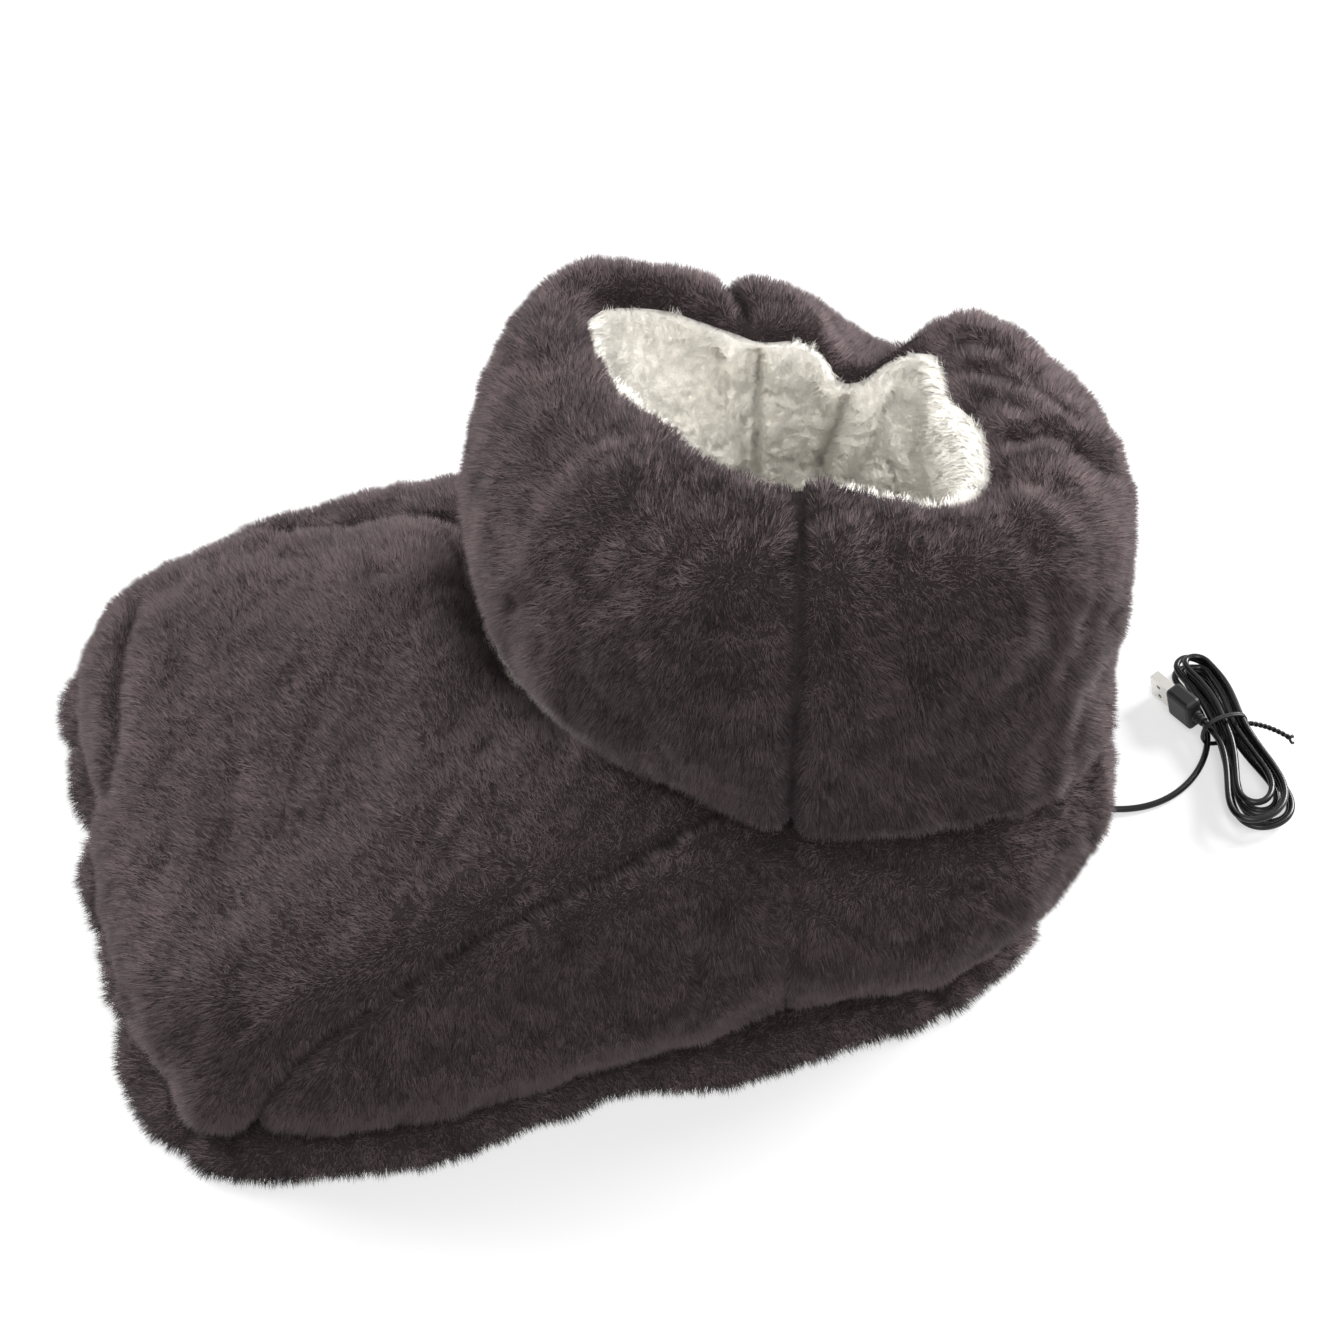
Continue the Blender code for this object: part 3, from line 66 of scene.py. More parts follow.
# Plush strip round the sole
FLANGE_WIDTH = 0.011
FLANGE_TUCK = 0.012
FLANGE_NOSE_HEIGHT = 0.0038
FLANGE_CROWN_HEIGHT = 0.0076
FLANGE_CROWN_INSET = 0.0055
FLANGE_NOSE_INSET = 0.0018
FLANGE_WAVE = 0.0018
FLANGE_WAVES = 11
FLANGE_SIDE_BULGE = 0.008
FLANGE_BULGE_SHARE = 0.305
FLANGE_BULGE_WIDTH_SHARE = 0.05
FLANGE_CORNER_BULGE = 0.007
FLANGE_CORNER_SHARE = 0.112
FLANGE_CORNER_WIDTH_SHARE = 0.035

# Upper
NECK_X = 0.032
NECK_Y = 0.082
NECK_HALF_WIDTH = 0.072
NECK_HALF_LENGTH = 0.070
NECK_POWER = 2.2
NECK_TURN = math.radians(25)
SEAT_HEIGHT = 0.114
SEAT_SLOPE_SHARE = -0.115
SEAT_TILT_SHARE = -0.03
TOE_BULGE = 0.003
SIDE_BULGE = 0.006
FAR_BULGE = 0.003
HEEL_BULGE = 0.031
PANEL_CROWN = 0.004
SEAM_DIP = 0.0015

# Rows up the wall of the upper, as shares of the height and of the way in to the neck
TOE_HEIGHT_SHARES = (0.0, 0.17, 0.33, 0.45, 0.54, 0.67, 0.80, 0.92, 1.0)
SIDE_HEIGHT_SHARES = (0.0, 0.18, 0.36, 0.54, 0.69, 0.82, 0.91, 0.975, 1.0)
FAR_HEIGHT_SHARES = (0.0, 0.16, 0.31, 0.43, 0.52, 0.61, 0.71, 0.86, 1.0)
TOE_IN_SHARES = (0.0, -0.01, 0.0, 0.035, 0.11, 0.30, 0.53, 0.77, 1.0)
NEAR_IN_SHARES = (0.0, 0.0, 0.0, 0.01, 0.05, 0.14, 0.30, 0.60, 1.0)
FAR_IN_SHARES = (0.0, 0.0, 0.01, 0.04, 0.12, 0.27, 0.48, 0.76, 1.0)
BULGE_SHARES = (0.0, 0.55, 0.85, 1.0, 0.95, 0.72, 0.42, 0.12, 0.0)
WALL_ROWS = len(BULGE_SHARES) - 1
NORMAL_PASSES = 2

# Seams, as shares of the way round from the middle of the toe, one for each row
VAMP_SEAM_SHARES = (0.116, 0.122, 0.131, 0.143, 0.158, 0.183, 0.220, 0.252, 0.267)
SIDE_SEAM_SHARES = (0.298, 0.298, 0.298, 0.298, 0.298, 0.297, 0.293, 0.286, 0.279)
HEEL_SEAM_SHARE = 0.5
VAMP_CELLS = 14
SIDE_CELLS = 6
HEEL_CELLS = 8

# Cuff: radii from the neck's middle and heights of its top, one for every 30 degrees from +X
CUFF_HALF_WIDTH = 0.118
CUFF_HALF_LENGTH = 0.121
CUFF_POWER = 2.3
CUFF_FOOT_RADII = (0.121, 0.135, 0.131, 0.119, 0.112, 0.108, 0.106, 0.109, 0.108, 0.108, 0.112, 0.116)
CUFF_BELLY_SHARE = 0.36
RIM_IN_RADII = (0.047, 0.073, 0.066, 0.058, 0.070, 0.055, 0.056, 0.100, 0.062, 0.043, 0.047, 0.047)
RIM_OUT_RADII = (0.120, 0.132, 0.130, 0.113, 0.106, 0.094, 0.105, 0.128, 0.124, 0.118, 0.120, 0.121)
RIM_HEIGHTS = (0.236, 0.234, 0.228, 0.219, 0.214, 0.213, 0.214, 0.217, 0.223, 0.229, 0.234, 0.236)
NOTCH_DEPTH = 0.020
NOTCH_OUT_PULL = 0.022
NOTCH_IN_PULL = 0.011
NOTCH_ANGLE = math.radians(137)
NOTCH_WIDTH = math.radians(12)
NECK_CLEARANCE = 0.0012
FRONT_STATIONS = 16
BACK_STATIONS = 22
NEAR_CUFF_SEAM = math.radians(-19)
CUFF_FOOT_SHARE = 0.1
CUFF_OUT_SHARES = (0.0, 0.45, 0.82, 0.97, 1.00, 0.99, 0.93, 0.78, 0.52, 0.24, 0.05)
CUFF_OUT_HEIGHT_SHARES = (0.0, 0.0, 0.0, 0.07, 0.30, 0.56, 0.76, 0.92, 1.0, 0.975, 0.90)
CUFF_IN_SHARES = (0.0, 0.0, 0.0, 0.0)
CUFF_IN_HEIGHT_SHARES = (0.78, 0.58, 0.38, 0.22)

# Heating pad and insole
PAD_COVER_THICKNESS = 0.001
WIRE_RADIUS = 0.0008
INSOLE_THICKNESS = 0.008
INSOLE_CLEARANCE = 0.0015

# Lead and its strain relief at the heel
EXIT_SIDE_SHARE = 0.5036
LEAD_RADIUS = 0.0014
LEAD_HEIGHT = 0.0046
RELIEF_COLLAR_RADIUS = 0.0026
RELIEF_OUTER = 0.016
RELIEF_CLEARANCE = 0.0019

# Free lead on the floor, from the strain relief to the tied hank: a listed route
LEAD_FLOOR = LEAD_RADIUS + 0.0001
LEAD_STEP = 0.0065
LEAD_ROUTE = (
    (0.0765, 0.2045),
    (0.0800, 0.2110),
    (0.0828, 0.2200),
    (0.0836, 0.2310),
    (0.0808, 0.2420),
    (0.0762, 0.2495),
)

# Hank of the spare lead
HANK_X = 0.0580
HANK_Y = 0.2750
HANK_LOOPS = 6
HANK_LAYERS = 4
HANK_LOOP_POINTS = 24
HANK_STEP = 0.0035
HANK_LAYER_STEP = 0.0034
HANK_WAIST_CLEAR = 0.0011
HANK_TOE_LENGTH = 0.0460
HANK_TOE_SHRINK = 0.0056
HANK_TOE_SPREAD = 0.0090
HANK_TOE_SPREAD_SHRINK = 0.0036
HANK_TOE_SHIFT = 0.0034
HANK_TIP_LEAN = 0.0030
HANK_HEEL_LENGTH = 0.0545
HANK_HEEL_SHRINK = 0.0080
HANK_HEEL_SPREAD = 0.0270
HANK_HEEL_SPREAD_SHRINK = 0.0075
HANK_HEEL_LEAN = 0.0060
HANK_FAN = 0.0100
HANK_LIFT = 0.0019
HANK_LIFT_REACH = 0.014
HANK_START_SHARE = -0.036
HANK_START_SWING = 0.190
HANK_END_SHARE = 0.030
HANK_END_BLEND_SHARE = 0.12
HANK_END_DROP = 0.0012
HANK_END_SHIFT = 0.0012

# Twist tie
TIE_RADIUS = 0.0006
TIE_CLEARANCE = 0.0011
TIE_SLACK = 0.0016
TIE_TAIL = 0.019
TIE_TAIL_RISE = 0.002
TIE_TURN = math.radians(24)

# USB plug, standing on its narrow edge
SHELL_WIDTH = 0.012
SHELL_THICKNESS = 0.0045
SHELL_LENGTH = 0.0115
CONTACTS = 4
MOULD_LENGTH = 0.0145
MOULD_WIDTH = 0.0155
MOULD_THICKNESS = 0.008
BOOT_LENGTH = 0.0052
PLUG_TIP = (0.0235, 0.2566)
PLUG_TURN = math.radians(196)
PLUG_PITCH = math.radians(-6)
PLUG_LEAN = math.radians(-12)
PLUG_FLOOR_CLEARANCE = 0.0003

# Derived sizes
EXIT_X = MIDDLE_X + UPPER_HALF_WIDTH * EXIT_SIDE_SHARE
OUTSOLE_TOP = OUTSOLE_THICKNESS
FOAM_BASE = OUTSOLE_TOP + GAP
FOAM_TOP = FOAM_BASE + FOAM_THICKNESS
WALL_BASE = FOAM_TOP + GAP
WALL_THICKNESS = PLUSH_THICKNESS + WADDING_THICKNESS + LINING_THICKNESS + 2 * GAP
COVER_LOW_TOP = WALL_BASE + PAD_COVER_THICKNESS
WIRE_HEIGHT = COVER_LOW_TOP + GAP + WIRE_RADIUS
COVER_HIGH_BASE = WIRE_HEIGHT + WIRE_RADIUS + GAP
INSOLE_BASE = COVER_HIGH_BASE + PAD_COVER_THICKNESS + GAP
FLANGE_SPLIT = 2 * (RELIEF_COLLAR_RADIUS + RELIEF_CLEARANCE)
FAR_CUFF_SEAM = NEAR_CUFF_SEAM + math.radians(197)


# Curves and shares
CURVE_SAMPLES = 24
LEVEL = (1, 1, 0)


def bell(distance, width):
    """One at no distance, falling smoothly to nought over about this width."""
    return np.exp(-(distance / width) ** 2)


def ramp(value, low, high):
    """A smooth rise from nought at the low value to one at the high value."""
    t = np.clip((value - low) / (high - low), 0, 1)
    return t * t * (3 - 2 * t)


def between(a, b, c, d, t):
    """A smooth way from b to c, whose neighbours are a and d, as t goes from 0 to 1."""
    return 0.5 * (2 * b + (c - a) * t + (2 * a - 5 * b + 4 * c - d) * t**2 + (3 * b - a - 3 * c + d) * t**3)


def distance_along(points):
    """How far each point is from the first, along the line."""
    return np.concatenate([[0], np.cumsum(np.linalg.norm(np.diff(points, axis=0), axis=1))])


def placed(wanted, known, points):
    """Points of a line at the wanted places, from its points at the known places."""
    return np.stack([np.interp(wanted, known, column) for column in points.T], axis=-1)


def smooth_line(controls, step):
    """Points at an even step along a smooth curve through the control points."""
    controls = np.asarray(controls, float)
    ends = np.vstack([2 * controls[0] - controls[1], controls, 2 * controls[-1] - controls[-2]])
    t = np.linspace(0, 1, CURVE_SAMPLES, endpoint=False)[:, None]
    dense = [between(*ends[i - 1:i + 3], t) for i in range(1, len(ends) - 2)]
    dense = np.vstack(dense + [controls[-1:]])
    along = distance_along(dense)
    wanted = np.linspace(0, along[-1], max(2, round(along[-1] / step) + 1))
    return placed(wanted, along, dense)


# The part's own shape: sole outline, upper, cuff, border and lead, as its CAD source works them out
def signed_power(value, power):
    return np.sign(value) * np.abs(value) ** power


def superellipse(angle, half_x, half_y, power):
    x = half_x * signed_power(np.cos(angle), 2 / power)
    y = half_y * signed_power(np.sin(angle), 2 / power)
    return np.stack([x, y], axis=-1)


def dense_outline():
    """The upper's foot line in plan, from the middle of the toe round the left side."""
    angle = np.linspace(-math.pi / 2, 1.5 * math.pi, OUTLINE_SAMPLES + 1)
    half_width = UPPER_HALF_WIDTH - CORNER_MARGIN
    toe = superellipse(angle, half_width, WAIST_Y - UPPER_TOE_Y - CORNER_MARGIN, TOE_POWER)
    heel = superellipse(angle, half_width, UPPER_HEEL_Y - WAIST_Y - CORNER_MARGIN, HEEL_POWER)
    core = np.where(np.sin(angle)[:, None] < 0, toe, heel) + (MIDDLE_X, WAIST_Y)
    along = distance_along(core)
    core = placed(np.linspace(0, along[-1], OUTLINE_SAMPLES + 1), along, core)
    way = np.roll(core[:-1], -1, axis=0) - np.roll(core[:-1], 1, axis=0)
    outwards = np.stack([way[:, 1], -way[:, 0]], axis=-1)
    outwards /= np.linalg.norm(outwards, axis=-1, keepdims=True)
    outwards = np.vstack([outwards, outwards[:1]])
    grown = core + outwards * CORNER_MARGIN
    along = distance_along(grown)
    return grown, outwards, along / along[-1]


OUTLINE, OUTLINE_OUTWARDS, OUTLINE_SHARE = dense_outline()


def outline(u, inset=0.0):
    """Points on the upper's foot line at shares u of its length, moved inwards by an inset."""
    u = np.mod(np.asarray(u, float), 1.0)
    place = placed(u, OUTLINE_SHARE, OUTLINE)
    outwards = placed(u, OUTLINE_SHARE, OUTLINE_OUTWARDS)
    outwards /= np.linalg.norm(outwards, axis=-1, keepdims=True)
    inset = np.asarray(inset, float)
    return place - outwards * inset[..., None], outwards


def seat_height(x, y):
    """The slanting plane on which the cuff sits."""
    return SEAT_HEIGHT + SEAT_SLOPE_SHARE * (y - NECK_Y) + SEAT_TILT_SHARE * (x - NECK_X)


def neck_angle(u):
    """The direction from the neck's middle that goes with a share of the way round the sole."""
    return 2 * math.pi * u - math.pi / 2 - NECK_TURN * np.sin(2 * math.pi * u)


def wall_surface(u, row):
    """Outer surface of the upper at shares u, on one row, before the panels' crowns."""
    base, outwards = outline(u)
    neck = superellipse(neck_angle(u), NECK_HALF_WIDTH, NECK_HALF_LENGTH, NECK_POWER)
    neck = neck + (NECK_X, NECK_Y)
    turn = 2 * math.pi * u
    heel_swell = np.clip(-np.cos(turn), 0, None)
    toe, heel = np.clip(np.cos(turn), 0, None) ** 2, heel_swell**2
    near, far = np.clip(np.sin(turn), 0, None) ** 2, np.clip(-np.sin(turn), 0, None) ** 2
    side = near + heel
    inward = toe * TOE_IN_SHARES[row] + side * NEAR_IN_SHARES[row] + far * FAR_IN_SHARES[row]
    rise = toe * TOE_HEIGHT_SHARES[row] + side * SIDE_HEIGHT_SHARES[row] + far * FAR_HEIGHT_SHARES[row]
    bulge = toe * TOE_BULGE + heel_swell * HEEL_BULGE + near * SIDE_BULGE + far * FAR_BULGE
    plan = base + (neck - base) * inward[:, None] + outwards * (bulge * BULGE_SHARES[row])[:, None]
    top = seat_height(neck[:, 0], neck[:, 1])
    height = WALL_BASE + (top - WALL_BASE) * rise
    return np.column_stack([plan, height])


def panel_columns():
    """Shares round the upper for every column of every row, and the columns where panels meet."""
    rows = []
    for row in range(WALL_ROWS + 1):
        vamp = VAMP_SEAM_SHARES[row]
        side = SIDE_SEAM_SHARES[row]
        rows.append(np.concatenate([
            np.linspace(-vamp, vamp, VAMP_CELLS + 1)[:-1],
            np.linspace(vamp, side, SIDE_CELLS + 1)[:-1],
            np.linspace(side, HEEL_SEAM_SHARE, HEEL_CELLS + 1)[:-1],
            np.linspace(HEEL_SEAM_SHARE, 1 - side, HEEL_CELLS + 1)[:-1],
            np.linspace(1 - side, 1 - vamp, SIDE_CELLS + 1)[:-1],
        ]))
    edges = np.cumsum([0, VAMP_CELLS, SIDE_CELLS, HEEL_CELLS, HEEL_CELLS, SIDE_CELLS])
    return np.array(rows).T, [int(e) for e in edges]


def grid_normals(grid, closed):
    """Unit normals of a grid of points, which may close on itself in its first direction."""
    if closed:
        across = np.roll(grid, -1, axis=0) - np.roll(grid, 1, axis=0)
    else:
        across = np.gradient(grid, axis=0)
    up = np.gradient(grid, axis=1)
    normal = np.cross(across, up)
    return normal / np.linalg.norm(normal, axis=2, keepdims=True)


def even_normals(grid):
    """Normals of a grid that closes on itself, evened out so that offset layers stay alike."""
    normal = grid_normals(grid, closed=True)
    for _ in range(NORMAL_PASSES):
        normal = normal + (np.roll(normal, 1, axis=0) + np.roll(normal, -1, axis=0)) / 2
        normal[:, 1:-1] = normal[:, 1:-1] + (normal[:, :-2] + normal[:, 2:]) / 2
        normal /= np.linalg.norm(normal, axis=2, keepdims=True)
    return normal


def upper_grid():
    """The upper's outer surface, its normals and the panels' edge columns."""
    columns, edges = panel_columns()
    grid = np.stack([wall_surface(columns[:, r], r) for r in range(WALL_ROWS + 1)], axis=1)
    normal = grid_normals(grid, closed=True)
    rows = np.linspace(0, 1, WALL_ROWS + 1)
    swell = np.zeros(len(columns))
    for first, last in zip(edges[:-1], edges[1:]):
        share = np.linspace(0, 1, last - first + 1)[:-1]
        swell[first:last] = PANEL_CROWN * np.sin(math.pi * share) - SEAM_DIP
    grid = grid + normal * swell[:, None, None] * np.sin(math.pi * rows)[None, :, None]
    normal = even_normals(grid)
    normal[:, 0, 2] = 0
    normal[:, -1, :] = (0, 0, 1)
    normal /= np.linalg.norm(normal, axis=2, keepdims=True)
    return grid, normal, edges


def round_value(angle, values):
    """A smooth value round the neck, from values at even angles."""
    count = len(values)
    place = (angle / (2 * math.pi) * count) % count
    first = int(place)
    return between(*(values[(first + k) % count] for k in (-1, 0, 1, 2)), place - first)


def reach_of(angle, half_x, half_y, power):
    """Distance of a superellipse's edge from its middle in one direction."""
    x = abs(math.cos(angle)) / half_x
    y = abs(math.sin(angle)) / half_y
    return (x**power + y**power) ** (-1 / power)


def notch(angle):
    """One in the middle of the notch in the cuff's rim, nought away from it."""
    away = math.remainder(angle - NOTCH_ANGLE, 2 * math.pi) / NOTCH_WIDTH
    return math.exp(-away**2)


def cuff_section(angle):
    """The cuff's section at one angle: points from its foot over the rim and down the neck."""
    belly = reach_of(angle, CUFF_HALF_WIDTH, CUFF_HALF_LENGTH, CUFF_POWER)
    foot_out = round_value(angle, CUFF_FOOT_RADII)
    foot_in = reach_of(angle, NECK_HALF_WIDTH, NECK_HALF_LENGTH, NECK_POWER)
    foot_in -= LINING_THICKNESS + NECK_CLEARANCE
    rim_in = round_value(angle, RIM_IN_RADII) - NOTCH_IN_PULL * notch(angle)
    rim_out = round_value(angle, RIM_OUT_RADII) - NOTCH_OUT_PULL * notch(angle)
    high = round_value(angle, RIM_HEIGHTS) - NOTCH_DEPTH * notch(angle)
    way = np.array([math.cos(angle), math.sin(angle)])

    def place(out_share, height_share, reach=None):
        inner = foot_in + (rim_in - foot_in) * ramp(height_share, CUFF_FOOT_SHARE, 1)
        low_blend = ramp(height_share, 0, CUFF_BELLY_SHARE)
        high_blend = ramp(height_share, CUFF_BELLY_SHARE, 1)
        outer = foot_out + (belly - foot_out) * low_blend + (rim_out - belly) * high_blend
        reach = inner + (outer - inner) * out_share if reach is None else reach
        x, y = way * reach + (NECK_X, NECK_Y)
        low = seat_height(x, y) + SEAT_GAP
        return np.array([x, y, low + (high - low) * height_share])

    first = place(0.0, 0.0, foot_in + LINING_THICKNESS + GAP)
    points = [first]
    points += [place(o, h) for o, h in zip(CUFF_OUT_SHARES[1:], CUFF_OUT_HEIGHT_SHARES[1:])]
    points += [place(o, h) for o, h in zip(CUFF_IN_SHARES, CUFF_IN_HEIGHT_SHARES)]
    foot = place(0.0, 0.0)
    points.append(np.array([foot[0], foot[1], first[2] + PLUSH_THICKNESS + GAP]))
    points.append(foot)
    points.append(foot - (0, 0, SEAT_GAP + WALL_THICKNESS))
    return np.array(points)


def cuff_grid():
    """The cuff's whole section path at every station, with normals that face out of the padding."""
    front = np.linspace(FAR_CUFF_SEAM - 2 * math.pi, NEAR_CUFF_SEAM, FRONT_STATIONS + 1)[:-1]
    back = np.linspace(NEAR_CUFF_SEAM, FAR_CUFF_SEAM, BACK_STATIONS + 1)[:-1]
    grid = np.array([cuff_section(angle) for angle in np.concatenate([front, back])])
    normal = even_normals(grid)
    normal[:, :2] = (0, 0, -1)
    normal[:, -3:, 2] = 0
    normal /= np.linalg.norm(normal, axis=2, keepdims=True)
    return grid, normal


def flange_reach(u):
    """How far the soft strip's edge wanders out of the sole's outline."""
    side = bell(u - FLANGE_BULGE_SHARE, FLANGE_BULGE_WIDTH_SHARE)
    corner = bell(np.minimum(u, 1 - u) - FLANGE_CORNER_SHARE, FLANGE_CORNER_WIDTH_SHARE)
    wave = FLANGE_WAVE * np.cos(2 * math.pi * FLANGE_WAVES * u)
    return wave + FLANGE_SIDE_BULGE * side + FLANGE_CORNER_BULGE * corner


def exit_place():
    """Where the lead's line crosses the outer edge of the sole at the heel."""
    heel = [i for i, p in enumerate(OUTLINE) if p[1] > WAIST_Y]
    xs, ys = OUTLINE[heel, 0], OUTLINE[heel, 1]
    nearest = int(np.argmin(np.abs(xs - EXIT_X)))
    return float(ys[nearest]) + FLANGE_WIDTH, float(OUTLINE_SHARE[heel[nearest]])


EXIT_Y, EXIT_SHARE = exit_place()


def hank_place(turn):
    """A point of the hank's centre line, after this many loops from its start."""
    per_layer = HANK_LOOPS / HANK_LAYERS
    layer = min(max(int(turn // per_layer), 0), HANK_LAYERS - 1)
    into = abs(turn - per_layer * layer)
    depth = into if layer % 2 == 0 else per_layer - into
    height = LEAD_FLOOR
    for k in range(1, HANK_LAYERS):
        height += HANK_LAYER_STEP * ramp((turn - per_layer * k) * 2 + 0.5, 0, 1)
    angle = math.radians(270) - 2 * math.pi * turn
    along, aside = math.cos(angle), math.sin(angle)
    waist = HANK_WAIST_CLEAR + HANK_STEP * (per_layer - depth)
    if along < 0:
        x = (HANK_TOE_LENGTH - HANK_TOE_SHRINK * depth) * along
        spread = HANK_TOE_SPREAD - HANK_TOE_SPREAD_SHRINK * depth
        out = -x / HANK_TOE_LENGTH
        aim = HANK_TOE_SHIFT * math.sin(math.pi * out) - HANK_TIP_LEAN * out**3
    else:
        x = (HANK_HEEL_LENGTH - HANK_HEEL_SHRINK * depth) * along
        spread = HANK_HEEL_SPREAD - HANK_HEEL_SPREAD_SHRINK * depth
        out = x / HANK_HEEL_LENGTH
        risen = (height - LEAD_FLOOR) / (HANK_LAYER_STEP * (HANK_LAYERS - 1))
        aim = (HANK_FAN * (0.5 - risen) - HANK_HEEL_LEAN) * out**2
    y = aside * (waist + spread * along**2) + aim
    height += HANK_LIFT * math.exp(-(x / HANK_LIFT_REACH) ** 2)
    if turn < 0:
        y -= HANK_START_SWING * along**2
    last = ramp((turn - HANK_LOOPS) / HANK_END_BLEND_SHARE + 1, 0, 1)
    return np.array([HANK_X + x, HANK_Y + y - HANK_END_SHIFT * last, height - HANK_END_DROP * last])


def hank_route():
    """The hank's centre line, with a straight piece before it and the way into the plug after it."""
    count = int(HANK_LOOPS * HANK_LOOP_POINTS)
    turns = np.linspace(HANK_START_SHARE, HANK_LOOPS - HANK_END_SHARE, count)
    points = [hank_place(t) for t in turns]
    way = points[0] - points[1]
    way[2] = 0
    start = points[0] + way / np.linalg.norm(way) * (2 * LEAD_RADIUS)
    socket, axis = plug_socket()
    end = socket + axis * GAP
    before = end + axis * (2 * LEAD_RADIUS)
    return np.array([start] + points + [before, end])


def plug_matrix():
    """The plug's own frame: X from its cable end to its tip, Z across its wide face."""
    turn = Matrix.Rotation(PLUG_TURN, 4, "Z")
    pitch = Matrix.Rotation(-PLUG_PITCH, 4, "Y")
    lean = Matrix.Rotation(PLUG_LEAN, 4, "X")
    spin = turn @ pitch @ lean
    tip = Vector((PLUG_TIP[0], PLUG_TIP[1], 0.0))
    length = MOULD_LENGTH + SHELL_LENGTH
    corners = [
        spin @ Vector((x, y * size / 2, z * wide / 2))
        for x, size, wide in ((length, SHELL_THICKNESS, SHELL_WIDTH), (0.0, MOULD_THICKNESS, MOULD_WIDTH),
                              (MOULD_LENGTH, MOULD_THICKNESS, MOULD_WIDTH))
        for y in (-1, 1)
        for z in (-1, 1)
    ]
    lift = PLUG_FLOOR_CLEARANCE - min(c.z for c in corners)
    back = spin @ Vector((length, 0.0, 0.0))
    return Matrix.Translation((tip.x - back.x, tip.y - back.y, lift)) @ spin


def plug_socket():
    """Where the hank's end meets the plug's boot, and the way out of the boot."""
    turned = plug_matrix()
    place = turned @ Vector((-BOOT_LENGTH, 0.0, 0.0))
    way = turned.to_3x3() @ Vector((-1.0, 0.0, 0.0))
    return np.array(place), np.array(way)


# From the part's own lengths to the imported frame, whose origin is under the middle of the boot
SHIFT = np.array([-0.00525, -0.00254, 0.0])

# Camera, at the photograph's angle
CAMERA_PLACE = (0.73493, -0.19449, 0.89706)
CAMERA_DROP = math.radians(47)
CAMERA_TURN = math.radians(17.5)
CAMERA_LENS = 75.96
CAMERA_SENSOR = 36.0
PHOTO_SIDE = 1327
PHOTO_FOCUS = CAMERA_LENS / CAMERA_SENSOR * PHOTO_SIDE

RANDOM = np.random.default_rng(20)


# Camera and the photograph's pixels
def camera_axes():
    """Right, up and forward of the camera."""
    right = np.array([math.sin(CAMERA_TURN), math.cos(CAMERA_TURN), 0.0])
    level = np.array([-math.cos(CAMERA_TURN), math.sin(CAMERA_TURN), 0.0])
    forward = level * math.cos(CAMERA_DROP) - np.array([0.0, 0.0, math.sin(CAMERA_DROP)])
    up = level * math.sin(CAMERA_DROP) + np.array([0.0, 0.0, math.cos(CAMERA_DROP)])
    return right, up, forward


def make_camera():
    """The camera, at the place and angle fitted to the photograph."""
    right, up, forward = camera_axes()
    data = bpy.data.cameras.new("camera")
    data.lens = CAMERA_LENS
    data.sensor_width = CAMERA_SENSOR
    data.clip_start = 0.05
    data.clip_end = 20.0
    item = bpy.data.objects.new("camera", data)
    bpy.context.scene.collection.objects.link(item)
    turn = Matrix([[right[k], up[k], -forward[k]] for k in range(3)])
    item.matrix_world = Matrix.Translation(CAMERA_PLACE) @ turn.to_4x4()
    bpy.context.scene.camera = item


def seen_at(points):
    """Where points of the frame fall in the photograph, in its pixels."""
    right, up, forward = camera_axes()
    away = points - np.array(CAMERA_PLACE)
    depth = away @ forward
    across = PHOTO_SIDE / 2 + PHOTO_FOCUS * (away @ right) / depth
    down = PHOTO_SIDE / 2 - PHOTO_FOCUS * (away @ up) / depth
    return np.stack([across, down], axis=-1)


# Noise
def mixed_bits(cells, seed):
    """A whole number that looks random for each cell of a lattice."""
    x, y, z = (cells[..., k].astype(np.uint32) for k in range(3))
    n = x * np.uint32(374761393) + y * np.uint32(668265263) + z * np.uint32(2246822519)
    n = n + np.uint32(seed * 3266489)
    n = (n ^ (n >> np.uint32(13))) * np.uint32(1274126177)
    n = (n ^ (n >> np.uint32(16))) * np.uint32(2654435761)
    return n ^ (n >> np.uint32(15))


def noise(points, size, seed=0):
    """Smooth noise from about -1 to 1, with bumps of about this size."""
    place = np.asarray(points, float) / size
    if place.shape[-1] == 2:
        place = np.concatenate([place, np.full(place.shape[:-1] + (1,), 0.37)], axis=-1)
    base = np.floor(place).astype(np.int64)
    into = place - base
    ease = into**3 * (into * (into * 6 - 15) + 10)
    total = np.zeros(place.shape[:-1])
    for corner in range(8):
        step = np.array([(corner >> k) & 1 for k in range(3)])
        bits = mixed_bits(base + step, seed)
        slope = [((bits >> np.uint32(10 * k)) & np.uint32(1023)).astype(float) / 511.5 - 1 for k in range(3)]
        dot = sum(slope[k] * (into[..., k] - step[k]) for k in range(3))
        weight = np.prod(np.where(step == 1, ease, 1 - ease), axis=-1)
        total += dot * weight
    return total * 1.6


def layered(points, layers):
    """Noise in several layers: (height, size of its bumps, seed)."""
    return sum(height * noise(points, size, seed) for height, size, seed in layers)


# Surfaces: smooth grids through the coarse grids of the solids
def along(grid, places, closed):
    """Smooth values of a grid between its lines, at places counted in lines."""
    count = len(grid)
    top = count - 1 if closed else count - 2
    first = np.clip(np.floor(places).astype(int), 0, top)
    t = (places - first).reshape(-1, *([1] * (grid.ndim - 1)))
    if closed:
        near = (grid[(first + k) % count] for k in (-1, 0, 1, 2))
    else:
        longer = np.concatenate([[2 * grid[0] - grid[1]], grid, [2 * grid[-1] - grid[-2]]])
        near = (longer[first + k + 1] for k in (-1, 0, 1, 2))
    return between(*near, t)


def finer(grid, across_places, up_places, closed):
    """A fine smooth grid through a coarse one."""
    rows = along(grid, across_places, closed)
    return along(rows.swapaxes(0, 1), up_places, False).swapaxes(0, 1)


